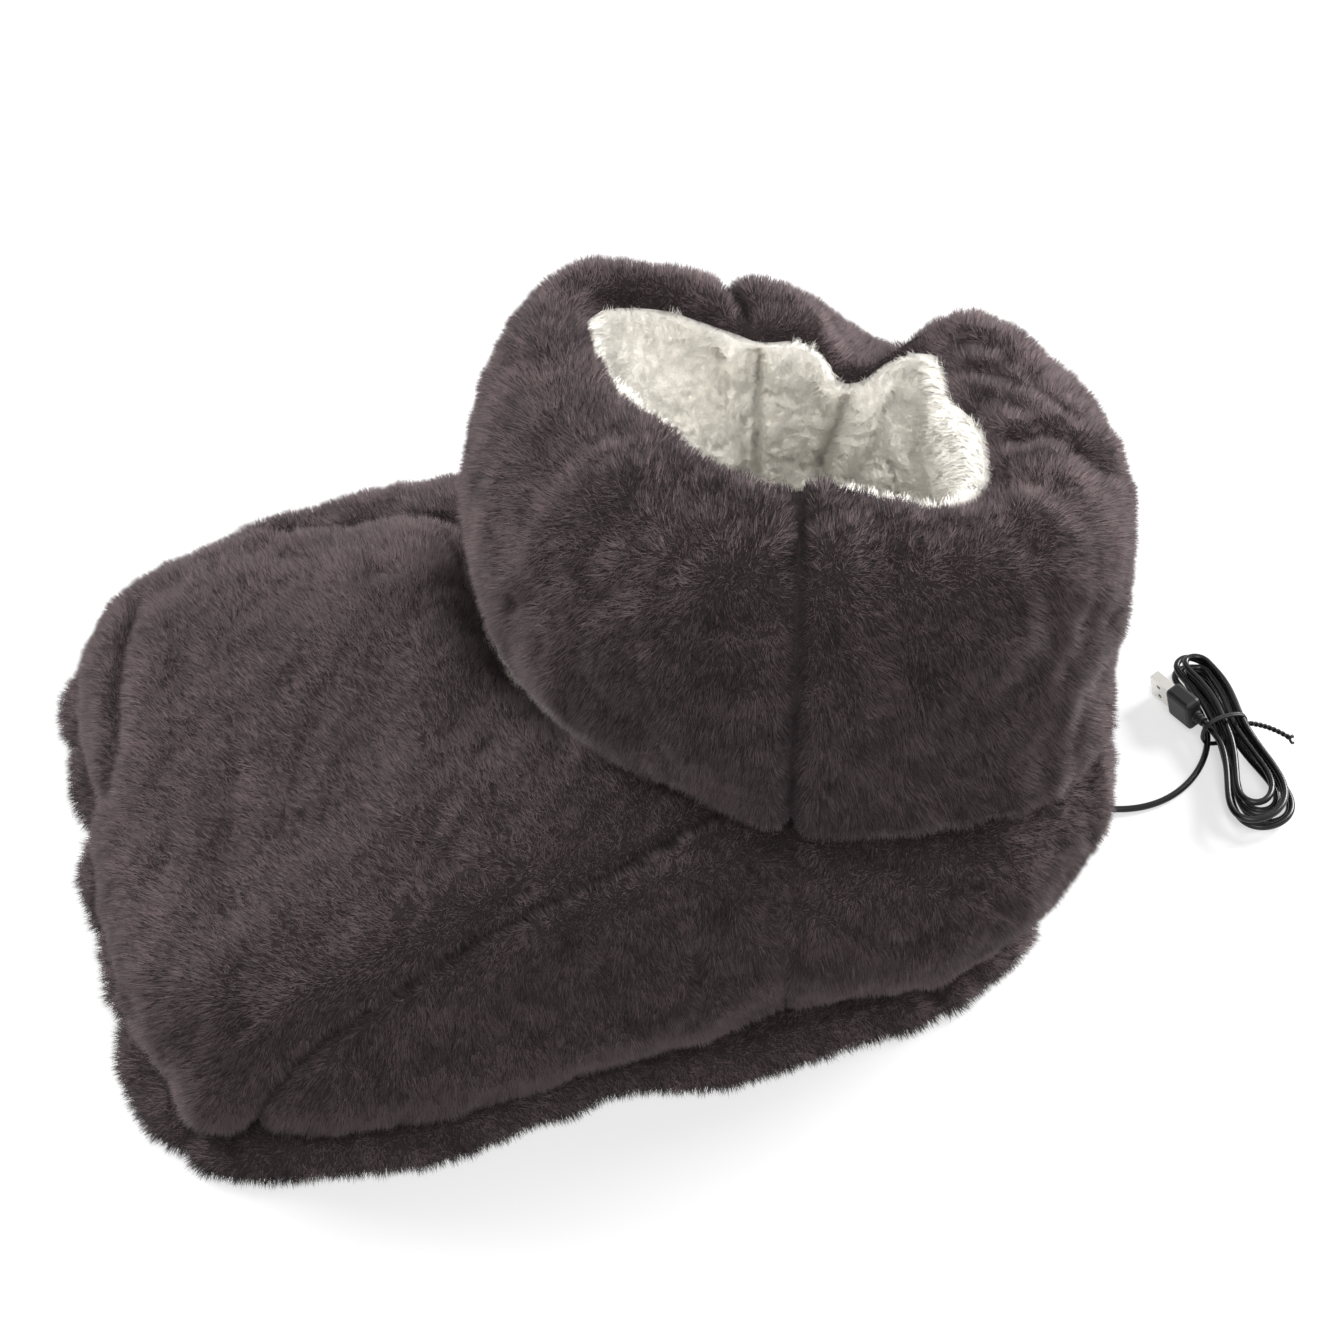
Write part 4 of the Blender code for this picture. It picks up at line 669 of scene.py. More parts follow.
def unit(vectors):
    return vectors / np.maximum(np.linalg.norm(vectors, axis=-1, keepdims=True), 1e-12)


def lengths(grid, axis):
    """Distance along each line of a grid, in one direction."""
    step = np.linalg.norm(np.diff(grid, axis=axis), axis=-1)
    start = np.zeros_like(np.take(step, [0], axis=axis))
    return np.concatenate([start, np.cumsum(step, axis=axis)], axis=axis)


def seam_gaps(grid, joins, seams):
    """Distance of every point of a closed grid from those seams that lie at the ends of its panel."""
    around = np.linalg.norm(np.roll(grid, -1, axis=0) - grid, axis=-1)
    way = np.concatenate([np.zeros((1, grid.shape[1])), np.cumsum(around, axis=0)])
    gap = np.full(grid.shape[:2], 1.0)
    for first, last in zip(joins[:-1], joins[1:]):
        here = way[first:last]
        for seam, near in ((first, here - way[first]), (last, way[last] - here)):
            if seam in seams:
                gap[first:last] = np.minimum(gap[first:last], near)
    return gap


def flattened(vectors, normal):
    """The part of each vector that lies in the surface."""
    return unit(vectors - normal * (vectors * normal).sum(axis=-1, keepdims=True))


def fold_at(pixels, line, width):
    """How near each pixel is to a line drawn over the photograph, from 0 to 1."""
    line = np.asarray(line, float)
    nearest = np.full(pixels.shape[:-1], 1e9)
    for a, b in zip(line[:-1], line[1:]):
        way = b - a
        t = np.clip(((pixels - a) @ way) / (way @ way), 0, 1)
        nearest = np.minimum(nearest, np.linalg.norm(pixels - a - t[..., None] * way, axis=-1))
    return bell(nearest, width)


def folded(grid, normal, folds):
    """Heights of folds that are drawn as lines over the photograph: (line, width in pixels, height)."""
    pixels = seen_at(grid)
    facing = ramp(-(normal @ camera_axes()[2]), 0.02, 0.25)
    return sum(height * fold_at(pixels, line, width) for line, width, height in folds) * facing


# Meshes
def mesh_piece(name, points, faces, materials, normals=None, slots=None):
    """A piece from points, faces of three or four corners, and the material of each face."""
    data = bpy.data.meshes.new(name)
    faces = np.asarray(faces)
    corners = faces.shape[1]
    data.vertices.add(len(points))
    data.vertices.foreach_set("co", np.asarray(points, np.float32).ravel())
    data.loops.add(faces.size)
    data.loops.foreach_set("vertex_index", faces.astype(np.int32).ravel())
    data.polygons.add(len(faces))
    data.polygons.foreach_set("loop_start", np.arange(0, faces.size, corners, dtype=np.int32))
    data.polygons.foreach_set("loop_total", np.full(len(faces), corners, np.int32))
    for item in materials:
        data.materials.append(item)
    if slots is not None:
        data.polygons.foreach_set("material_index", np.asarray(slots, np.int32))
    data.update(calc_edges=True)
    data.shade_smooth()
    if normals is not None:
        data.normals_split_custom_set_from_vertices(np.asarray(normals, np.float32))
    piece = bpy.data.objects.new(name, data)
    bpy.context.scene.collection.objects.link(piece)
    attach(piece, "root")
    return piece


def grid_faces(across, up, closed):
    """The four-sided faces of a grid of points."""
    i = np.arange(across if closed else across - 1)
    j = np.arange(up - 1)
    i, j = (a.ravel() for a in np.meshgrid(i, j, indexing="ij"))
    k = (i + 1) % across
    return np.stack([i * up + j, k * up + j, k * up + j + 1, i * up + j + 1], axis=1)


def skin(name, grid, closed, material):
    """A sheet of cloth from a grid of points."""
    return mesh_piece(name, grid.reshape(-1, 3), grid_faces(*grid.shape[:2], closed), [material])


# Pile: short tapered fibres that stand on a surface
def cell_areas(grid, closed):
    a = grid if closed else grid[:-1]
    b = np.roll(grid, -1, axis=0) if closed else grid[1:]
    return np.linalg.norm(np.cross(b[:, 1:] - a[:, :-1], a[:, 1:] - b[:, :-1]), axis=-1) / 2


def scatter(grid, closed, count):
    """Random places on a grid, spread evenly over its area, counted in its lines."""
    area = cell_areas(grid, closed)
    total = np.cumsum(area.ravel())
    chosen = np.searchsorted(total, RANDOM.random(count) * total[-1])
    i, j = np.unravel_index(chosen, area.shape)
    return i + RANDOM.random(count), j + RANDOM.random(count)


def area_of(grid, closed):
    return float(cell_areas(grid, closed).sum())


def sampled(values, i, j):
    """Values of a grid at places counted in its lines."""
    across, up = values.shape[:2]
    a, b = np.floor(i).astype(int), np.floor(j).astype(int)
    s, t = i - a, j - b
    a, c = a % across, (a + 1) % across
    b, d = np.minimum(b, up - 1), np.minimum(b + 1, up - 1)
    if values.ndim == 3:
        s, t = s[:, None], t[:, None]
    low = values[a, b] * (1 - s) + values[c, b] * s
    high = values[a, d] * (1 - s) + values[c, d] * s
    return low * (1 - t) + high * t


def turned_about(vectors, axis, angle):
    """Vectors in a surface turned about its normal."""
    c, s = np.cos(angle)[:, None], np.sin(angle)[:, None]
    return vectors * c + np.cross(axis, vectors) * s


def fibres(name, roots, normal, way, length, width, shade, materials, soft, buried=0.0010):
    """One piece of many fibres: each a thin three-sided spike from its root towards its tip."""
    count = len(roots)
    side = unit(np.cross(normal, way))
    under = unit(np.cross(way, side))
    half = (width / 2)[:, None]
    start = roots - normal * buried
    tip = start + way * length[:, None]
    tip[:, 2] = np.maximum(tip[:, 2], 0.0002)
    start[:, 2] = np.maximum(start[:, 2], 0.0005)
    points = np.stack([start + side * half, start - side * half, start + under * half * 1.2, tip], axis=1)
    base = np.arange(count)[:, None, None] * 4
    faces = base + np.array([[1, 0, 3], [0, 2, 3], [2, 1, 3]])
    spread = np.stack([side * soft, -side * soft, np.zeros_like(side), way * soft], axis=1)
    normals = unit(normal[:, None] + spread)
    piece = mesh_piece(name, points.reshape(-1, 3), faces.reshape(-1, 3), materials,
                       normals=normals.reshape(-1, 3), slots=np.repeat(shade, 3))
    return piece


# Materials
WHITE = (1.0, 1.0, 1.0, 1.0)
SHEEN_TINT = (0.90, 0.78, 0.79)
GRAIN_ROUGHNESS = 0.6
PLUSH = (0.0825, 0.0632, 0.0646)
PLUSH_SHADES = (0.32, 0.54, 0.82, 1.10, 1.42, 1.85)
PLUSH_DARK_TINT = (0.97, 1.00, 1.07)
PLUSH_LIGHT_TINT = (1.03, 1.00, 0.99)
PLUSH_SHEEN = 0.10
FLEECE = (0.972, 0.938, 0.868)
FLEECE_SHADES = (0.86, 0.94, 1.0, 1.01)
PALEST = 0.97
BLACK_PVC = (0.0045, 0.0045, 0.005)
GRIP_BLACK = (0.009, 0.009, 0.0095)
NICKEL = (0.74, 0.72, 0.68)
CONTACT_GOLD = (0.78, 0.58, 0.25)
WHITE_PLASTIC = (0.75, 0.75, 0.73)
RED_PVC = (0.42, 0.02, 0.02)
SILICONE = (0.35, 0.08, 0.05)
SOLE_CREAM = (0.74, 0.71, 0.63)
FOAM_GREY = (0.60, 0.60, 0.58)
FELT_WHITE = (0.70, 0.70, 0.69)


def new_material(name, colour, roughness, metallic=0.0, sheen=0.0):
    """A Principled material with its constants set on its own sockets."""
    made = bpy.data.materials.new(name)
    made.use_nodes = True
    shader = made.node_tree.nodes["Principled BSDF"]
    shader.inputs["Base Color"].default_value = (*colour, 1.0)
    shader.inputs["Roughness"].default_value = roughness
    shader.inputs["Metallic"].default_value = metallic
    shader.inputs["Sheen Weight"].default_value = sheen
    shader.inputs["Sheen Roughness"].default_value = 0.40
    shader.inputs["Sheen Tint"].default_value = (*SHEEN_TINT, 1.0)
    if roughness >= 1.0:
        shader.inputs["Specular IOR Level"].default_value = 0.2
    return made


def node(made, kind, **inputs):
    """A new node of a material or world, with values for its inputs."""
    item = made.node_tree.nodes.new(kind)
    for key, value in inputs.items():
        item.inputs[key.replace("_", " ")].default_value = value
    return item


def link(made, start, end):
    made.node_tree.links.new(start, end)


def computed(made, operation, first, second):
    """One value from two, by a Math node."""
    item = node(made, "ShaderNodeMath")
    item.operation = operation
    link(made, first, item.inputs[0])
    link(made, second, item.inputs[1])
    return item.outputs[0]


def mapped(made, stretch=(1.0, 1.0, 1.0), turn=(0.0, 0.0, 0.0)):
    """Object coordinates, stretched and turned."""
    place = node(made, "ShaderNodeTexCoord")
    change = node(made, "ShaderNodeMapping", Scale=stretch, Rotation=turn)
    link(made, place.outputs["Object"], change.inputs["Vector"])
    return change.outputs["Vector"]


def grain(made, scale, detail=4.0, stretch=(1.0, 1.0, 1.0)):
    """Noise with this many grains in a metre."""
    item = node(made, "ShaderNodeTexNoise", Scale=scale, Detail=detail, Roughness=GRAIN_ROUGHNESS)
    link(made, mapped(made, stretch), item.inputs["Vector"])
    return item.outputs["Fac"]


def graded(made, value, stops):
    """A colour ramp over a value, from (place, colour) stops."""
    item = node(made, "ShaderNodeValToRGB")
    band = item.color_ramp
    while len(band.elements) < len(stops):
        band.elements.new(0.5)
    for element, (place, colour) in zip(band.elements, stops):
        element.position = place
        element.color = (*colour, 1.0)
    link(made, value, item.inputs["Fac"])
    return item.outputs["Color"]


def blended(made, share, first, second):
    """Two colours mixed by a value."""
    item = node(made, "ShaderNodeMix")
    item.data_type = "RGBA"
    link(made, share, item.inputs[0])
    for socket, value in ((item.inputs[6], first), (item.inputs[7], second)):
        if isinstance(value, tuple):
            socket.default_value = (*value, 1.0)
        else:
            link(made, value, socket)
    return item.outputs[2]


def bumped(made, height, distance):
    """Fine relief of this depth, too small for the mesh."""
    shader = made.node_tree.nodes["Principled BSDF"]
    item = node(made, "ShaderNodeBump", Strength=1.0, Distance=distance)
    link(made, height, item.inputs["Height"])
    link(made, item.outputs["Normal"], shader.inputs["Normal"])


def set_colour(made, colour):
    link(made, colour, made.node_tree.nodes["Principled BSDF"].inputs["Base Color"])


def set_roughness(made, value, low, high):
    item = node(made, "ShaderNodeMapRange", To_Min=low, To_Max=high)
    link(made, value, item.inputs["Value"])
    link(made, item.outputs["Result"], made.node_tree.nodes["Principled BSDF"].inputs["Roughness"])


def scaled(colour, share):
    return tuple(c * share for c in colour)


def make_plush_skin():
    """The backing cloth that the plush's pile grows from, coloured far darker than the pile as painted shade
    deep in the pile.
    """
    made = new_material("plush_backing_painted_shade", scaled(PLUSH, 0.42), 1.0)
    fine = grain(made, 900.0, detail=3.0)
    broad = grain(made, 60.0, detail=5.0)
    dark = graded(made, fine, [(0.3, scaled(PLUSH, 0.26)), (0.7, scaled(PLUSH, 0.52))])
    colour = blended(made, broad, dark, scaled(PLUSH, 0.46))
    set_colour(made, colour)
    bumped(made, fine, 0.0006)
    return made


def make_shades(name, colour, shades, sheen, dark_tint=(1, 1, 1), light_tint=(1, 1, 1)):
    """A fibre material for each shade that the pile shows, from the darkest to the palest."""
    made = []
    for k, share in enumerate(shades):
        t = k / (len(shades) - 1)
        tint = [a * (1 - t) + b * t for a, b in zip(dark_tint, light_tint)]
        toned = tuple(min(c * s * share, PALEST) for c, s in zip(colour, tint))
        made.append(new_material(f"{name}_{k + 1}", toned, 1.0, sheen=sheen))
    return made


def make_fleece_skin():
    """The pale backing cloth under the curly fleece."""
    made = new_material("fleece_backing", scaled(FLEECE, 0.9), 1.0)
    curls = grain(made, 420.0, detail=4.0)
    colour = graded(made, curls, [(0.3, scaled(FLEECE, 0.93)), (0.7, scaled(FLEECE, 1.0))])
    set_colour(made, colour)
    bumped(made, curls, 0.0012)
    return made


def make_woven(name, colour, threads):
    """Plain weave from two sets of crossing threads."""
    made = new_material(name, colour, 0.9)
    waves = []
    for turn in (0.0, math.pi / 2):
        item = node(made, "ShaderNodeTexWave", Scale=threads, Distortion=0.6, Detail=2.0)
        item.wave_type = "BANDS"
        item.bands_direction = "X"
        link(made, mapped(made, turn=(0.0, 0.0, turn)), item.inputs["Vector"])
        waves.append(item.outputs["Fac"])
    cross = computed(made, "MULTIPLY", *waves)
    fluff = grain(made, 180.0)
    tone = graded(made, cross, [(0.0, scaled(colour, 0.72)), (0.8, scaled(colour, 1.05))])
    set_colour(made, blended(made, fluff, tone, scaled(colour, 0.88)))
    bumped(made, cross, 0.0002)
    return made


def make_felted(name, colour, scale, depth):
    """Matted or moulded soft material with specks and pores."""
    made = new_material(name, colour, 0.95, sheen=0.1)
    fine = grain(made, scale, detail=6.0)
    broad = grain(made, scale / 12)
    tone = graded(made, fine, [(0.3, scaled(colour, 0.74)), (0.65, colour)])
    set_colour(made, blended(made, broad, tone, scaled(colour, 0.86)))
    bumped(made, fine, depth)
    return made


def make_plastic(name, colour, low, high, depth=0.00003, scale=900.0, shine=0.5):
    """Moulded plastic or cable jacket: faint mottling in its gloss and a fine skin."""
    made = new_material(name, colour, low)
    made.node_tree.nodes["Principled BSDF"].inputs["Specular IOR Level"].default_value = shine
    fine = grain(made, scale, detail=5.0)
    broad = grain(made, scale / 15, detail=3.0)
    set_colour(made, blended(made, broad, colour, scaled(colour, 0.72)))
    set_roughness(made, broad, low, high)
    bumped(made, fine, depth)
    return made


def make_metal(name, colour, low, high):
    """Plated sheet with drawing marks along one way and a few handling marks."""
    made = new_material(name, colour, low, metallic=1.0)
    lines = grain(made, 1500.0, detail=4.0, stretch=(0.08, 1.0, 1.0))
    marks = grain(made, 300.0, detail=6.0)
    set_colour(made, blended(made, marks, colour, scaled(colour, 0.82)))
    set_roughness(made, lines, low, high)
    bumped(made, lines, 0.00001)
    return made


def repaint(names, material):
    """Gives CAD nodes that stay a better material."""
    for name in names:
        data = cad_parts[name].data
        data.materials.clear()
        data.materials.append(material)


# Lead, its twist tie and its plug
CONTACT_NAMES = [f"usb_contact_{k + 1}" for k in range(CONTACTS)]
LEAD_LEAST_STEP = 0.0006
LEAD_TUBE_STEP = 0.0012
LEAD_SIDES = 16
RUN_SHARE = 0.085
RUN_EASINGS = 160
RUN_EASE_POINTS = (1, 16)
LEAD_EASINGS = 12
EASE_SHARE = 0.5
FOLD_TURNS = 3
FOLD_RADIUS = 0.0060
FOLD_DEPTH = 0.0045
FOLD_REACH = 16
FOLD_APART = 30
FOLD_FREE_ENDS = 60
STRAND_GAP = 0.0030
STRAND_PASSES = 12
STRAND_NEIGHBOURS = 14
STRAND_MOST_PUSH = 0.0005
STRAND_PUSH_SHARE = 0.6
STRAND_EASE_SHARE = 0.25
TIE_TURNS = 2
TIE_POWER = 2.6
TIE_POINTS = 120
TIE_STEP = 0.0007
TIE_SIDES = 10
TIE_SPREAD_SHARE = 1.6
TIE_SWAY_SHARE = 0.25
TAIL_POINTS = 90
TAIL_TWISTS = 5
TAIL_BEND = 0.6
TAIL_SHARE = 1.05
TAIL_OPEN_SHARE = 1.6
TAIL_OPEN_FROM = 0.86


def curve_piece(name, points, radius, material, sides):
    """A round tube along a line of points."""
    data = bpy.data.curves.new(name, "CURVE")
    data.dimensions = "3D"
    data.bevel_depth = radius
    data.bevel_resolution = sides // 2 - 2
    data.use_fill_caps = True
    line = data.splines.new("POLY")
    line.points.add(len(points) - 1)
    line.points.foreach_set("co", np.column_stack([points, np.ones(len(points))]).ravel())
    line.use_smooth = True
    data.materials.append(material)
    piece = bpy.data.objects.new(name, data)
    bpy.context.scene.collection.objects.link(piece)
    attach(piece, "root")
    return piece


def lead_points():
    """The lead's whole centre line, from the strain relief over the floor and through the hank."""
    hank = hank_route()
    start = np.array([EXIT_X, EXIT_Y + RELIEF_OUTER + GAP, LEAD_HEIGHT])
    straight = start + (0, 2 * LEAD_RADIUS, 0)
    before = hank[0] + unit(hank[0] - hank[1]) * (GAP + 2 * LEAD_RADIUS)
    middle = [(x, y, LEAD_FLOOR) for x, y in LEAD_ROUTE]
    line = smooth_line([straight] + middle + [before], LEAD_STEP)
    return np.vstack([start[None], line, hank]) + SHIFT


def circle_radius(line, gap):
    """Radius of the circle through three points of a line, this many steps apart."""
    a, b, c = line[:-2 * gap], line[gap:-gap], line[2 * gap:]
    sides = np.prod([np.linalg.norm(v, axis=1) for v in (b - a, c - b, c - a)], axis=0)
    return sides / np.maximum(2 * np.linalg.norm(np.cross(b - a, c - a), axis=1), 1e-12)


def ease(line, first, last, share):
    """Moves the points from first to before last by a share of the way to their neighbours' middle."""
    middle = (line[first - 1:last - 1] + line[first + 1:last + 1]) / 2
    line[first:last] += share * (middle - line[first:last])


def open_folds(line):
    """Spreads the tips of the cable's tight folds sideways, so that they are rounder."""
    free = np.ones(len(line), bool)
    free[:FOLD_FREE_ENDS] = free[-FOLD_FREE_ENDS:] = False
    while True:
        radius = np.full(len(line), 1.0)
        radius[2:-2] = circle_radius(line, 2)
        radius[~free] = 1.0
        tip = int(radius.argmin())
        if radius[tip] >= FOLD_RADIUS:
            return
        near = slice(tip - FOLD_REACH, tip + FOLD_REACH + 1)
        across = unit((line[tip + 1] - line[tip - 1]) * LEVEL)
        inward = (line[tip + FOLD_REACH] + line[tip - FOLD_REACH]) / 2 - line[tip]
        inward = unit((inward - across * (inward @ across)) * LEVEL)
        off = line[near] - line[tip]
        wider = (np.sqrt(FOLD_RADIUS / radius[tip]) - 1) * bell(off @ inward, FOLD_DEPTH)
        line[near] += across * ((off @ across) * wider)[:, None]
        free[max(tip - FOLD_APART, 0):tip + FOLD_APART + 1] = False


def part_strands(line):
    """Pushes strands of the cable that lie too near each other apart on the level."""
    order = np.arange(len(line))
    neighbours = np.abs(order[:, None] - order) < STRAND_NEIGHBOURS
    for _ in range(STRAND_PASSES):
        away = line[:, None] - line
        far = np.where(neighbours, 1.0, np.linalg.norm(away, axis=-1))
        other = far.argmin(axis=1)
        push = unit(away[order, other] * LEVEL)
        short = np.clip(STRAND_GAP - far[order, other], 0, STRAND_MOST_PUSH)
        move = push * (short * STRAND_PUSH_SHARE)[:, None]
        line[3:-3] += move[3:-3]
        ease(line, 2, len(line) - 2, STRAND_EASE_SHARE)


def make_lead(material):
    """The whole cable as one tube, and its centre line."""
    points = lead_points()
    keep = np.concatenate([[True], np.linalg.norm(np.diff(points, axis=0), axis=1) > LEAD_LEAST_STEP])
    fine = smooth_line(points[keep], LEAD_TUBE_STEP)
    run = int(len(fine) * RUN_SHARE)
    run_share = EASE_SHARE * ramp(np.arange(2, run), *RUN_EASE_POINTS)[:, None]
    for _ in range(RUN_EASINGS):
        ease(fine, 2, run, run_share)
    for _ in range(LEAD_EASINGS):
        ease(fine, 1, len(fine) - 1, EASE_SHARE)
    for _ in range(FOLD_TURNS):
        open_folds(fine)
        part_strands(fine)
    fine[:, 2] = np.maximum(fine[:, 2], LEAD_RADIUS)
    piece = curve_piece("lead", fine, LEAD_RADIUS, material, LEAD_SIDES)
    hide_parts("lead_run", "lead_hank")
    return piece, fine


def make_tie(material):
    """Twist tie: two turns round the hank's waist, and both tails twisted together."""
    low = LEAD_FLOOR + HANK_LIFT - LEAD_RADIUS - TIE_CLEARANCE / 2
    high = LEAD_FLOOR + HANK_LIFT + HANK_LAYER_STEP * (HANK_LAYERS - 1) + LEAD_RADIUS + TIE_CLEARANCE
    reach = HANK_WAIST_CLEAR + HANK_STEP * HANK_LOOPS / HANK_LAYERS + LEAD_RADIUS
    reach += HANK_END_SHIFT + TIE_SLACK + TIE_CLEARANCE
    far = HANK_WAIST_CLEAR + HANK_STEP + LEAD_RADIUS + TIE_CLEARANCE
    middle = np.array([HANK_X, HANK_Y + (far - reach) / 2, (low + high) / 2]) + SHIFT
    half_wide = (far + reach) / 2 + TIE_RADIUS
    half_high = (high - low) / 2 + TIE_RADIUS
    angle = np.linspace(0.0, 2 * math.pi * TIE_TURNS, TIE_POINTS)
    ring = superellipse(angle, half_wide, half_high, TIE_POWER)
    slide = np.linspace(-1, 1, len(angle)) * TIE_SPREAD_SHARE + TIE_SWAY_SHARE * np.sin(3 * angle)
    slide *= TIE_RADIUS
    turns = middle + np.column_stack([slide, ring[:, 0], ring[:, 1]])
    knot = middle + (0.0, half_wide + 2 * TIE_RADIUS, 0.0)
    out = np.array([math.sin(TIE_TURN), math.cos(TIE_TURN), 0.0])
    across = np.array([math.cos(TIE_TURN), -math.sin(TIE_TURN), 0.0])
    along_tail = np.linspace(0.0, 1.0, TAIL_POINTS)
    bend = TAIL_BEND * along_tail[:, None] ** 2 / 2
    apart = TIE_RADIUS * (TAIL_SHARE + TAIL_OPEN_SHARE * ramp(along_tail, TAIL_OPEN_FROM, 1.0))
    tails = []
    for start in (0, math.pi):
        spin = along_tail * 2 * math.pi * TAIL_TWISTS + start
        line = knot + out * (along_tail[:, None] * TIE_TAIL) + across * (bend * TIE_TAIL)
        line += across * (np.cos(spin) * apart)[:, None]
        line[:, 2] += np.sin(spin) * apart - TIE_TAIL_RISE * along_tail**2
        tails.append(line)
    wire = np.vstack([tails[0][::-1], turns, tails[1]])
    lowest = wire[:, 2].min() - TIE_RADIUS
    if lowest < 0:
        wire[:, 2] += np.where(wire[:, 2] < middle[2], -lowest, 0.0)
    piece = curve_piece("twist_tie", smooth_line(wire, TIE_STEP), TIE_RADIUS, material, TIE_SIDES)
    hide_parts("hank_tie")
    return piece


def round_edges(name, width, segments):
    """Rounds the edges of a CAD node that stays."""
    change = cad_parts[name].modifiers.new("edges", "BEVEL")
    change.width = width
    change.segments = segments
    change.limit_method = "ANGLE"
    change.angle_limit = math.radians(35)


# Plush and fleece
PANELS = ("vamp", "side_left", "heel_left", "heel_right", "side_right")
CELL_STEPS = {"vamp": 11, "side_left": 16, "heel_left": 14, "heel_right": 14, "side_right": 16}
ROW_STEPS = 16
PILE_DENSITY = 2.7e6
PILE_LENGTH = 0.0060
PILE_WIDTH = 0.00036
PILE_LIFT = 76.0
MOST_FIBRES = 64000
PANEL_MOTTLE = {"vamp": 0.35}
PILE_SOFTNESS = 0.5
PILE_LEAST_RISE = 12
PILE_MOST_RISE = 118
SWIRL_SIZE = 0.055
TUFT_SIZE = 0.0090
WISP_SIZE = 0.0032
FLECK_SIZE = 0.0019
PARTING_SIZE = 0.0058
PARTING_PATCH = 0.012
PARTING_CROOK = 0.0025
PARTING_STEP = 0.0011

# Relief of the upper's cloth, which is calmer on its top side than on its walls
TOPSIDE_SLOPES = (0.35, 0.80)
RIPPLE_HEIGHT = 0.0013
RIPPLE_CALM = 0.0007
RIPPLE_SIZE = 0.012
CREASE_HEIGHT = 0.0007
CREASE_LENGTHS = (0.016, 0.055, 0.05)
WALL_WAVE_HEIGHT = 0.0016
WALL_WAVE_SIZE = 0.014
# Painted light: the pile on the walls is toned paler a little above their foot
FOOT_PAINTED_LIGHT = 0.26
FOOT_PAINTED_LIGHT_AT = 0.020
FOOT_PAINTED_LIGHT_REACH = 0.012
# Painted shadow: the pile is toned darker near the top of the upper, under the cuff
TOP_PAINTED_SHADE = 0.40
TOP_PAINTED_SHADE_REACH = 0.020

# Seams, puckers and the depth of the backing cloth
SEAM_REACH = 0.0030
FAINT_SEAM = 0.30
SKIN_DEPTH = 0.0012
SEAM_DEPTH = 0.0040
SEAM_WIDTH = 0.0050
FAINT_SEAM_WIDTH = 0.0060
PUCKER_HEIGHT = 0.0016
PUCKER_SIZE = 0.016
PUCKER_REACH = 0.014
PUCKER_START = 0.004
SOLE_SEAM_DEPTH = 0.0040
SOLE_SEAM_WIDTH = 0.0060
TOP_FADE = 0.030
CUFF_SEAM_DEPTH = 0.0050
CUFF_SEAM_WIDTH = 0.0046

# Border: how it puffs into lobes at the toe, gathers and stands out
BORDER_TOE = (0.10, 0.17)
BORDER_SIDE = (0.02, 0.13)
BORDER_SIDE_ACROSS = (-0.11, 0.03)
LOBE_POWER = 0.55
LOBE_MIDDLE = 0.75
LOBE_REACH = 0.0070
LOBE_SWELL_SHARE = 0.55
SIDE_REACH = 0.0060
TOE_TUCK = 0.0020
SWELL_WAVE_SHARE = 0.24
SWELL_WAVE_SIZE = 0.030
SWELL_DROP_SHARE = 0.22
BORDER_LUMP = 0.0012
BORDER_LUMP_SIZE = 0.016
# Painted shade: the border's pile is toned darker round the toe
BORDER_TOE_PAINTED_SHADE = 0.14
BORDER_BARE_ROWS = 6

# Fineness of the grids, and the pile of each
CUFF_STEPS = 12
CUFF_PLUSH_STEPS = 15
CUFF_FLEECE_STEPS = 18
CUFF_PILE_FROM = 1.6
LINING_STEPS = 7
LINING_DENSITY = 0.34e6
LINING_LENGTH = 0.0046
LINING_WIDTH = 0.00085
INSOLE_STATIONS = 360
INSOLE_EDGE = ((1.0, 0.0), (1.0, 0.5), (0.992, 0.9), (0.975, 1.0))
INSOLE_RINGS = 70
INSOLE_OUTER_RING = 0.96
INSOLE_LEAST_RING = 0.002
INSOLE_DENSITY = 0.50e6
INSOLE_PILE_LENGTH = 0.0040
INSOLE_PILE_WIDTH = 0.00070
BORDER_STATIONS = 720
BORDER_STEPS = 7
BORDER_PILE_LENGTH = 0.0062
BORDER_PILE_LIFT = 50.0
FLEECE_DENSITY = 0.85e6
FLEECE_LENGTH = 0.0038
FLEECE_WIDTH = 0.00050
FLEECE_MOST_SHARE = 1.35
RIM_ROWS = 26.0
RIM_LONGER = 0.45

# Broad waves of the cloth: height, size and seed
UPPER_WAVES = ((0.0034, 0.080, 3), (0.0020, 0.030, 4))
LINING_WAVES = ((0.0008, 0.006, 31), (0.0010, 0.030, 32))
CUFF_WAVES = ((0.0038, 0.075, 13), (0.0026, 0.034, 14), (0.0014, 0.012, 15))
NECK_WAVES = ((0.0022, 0.040, 18), (0.0012, 0.012, 19))
BORDER_GATHERS = ((0.0024, 0.026, 41), (0.0010, 0.011, 42))

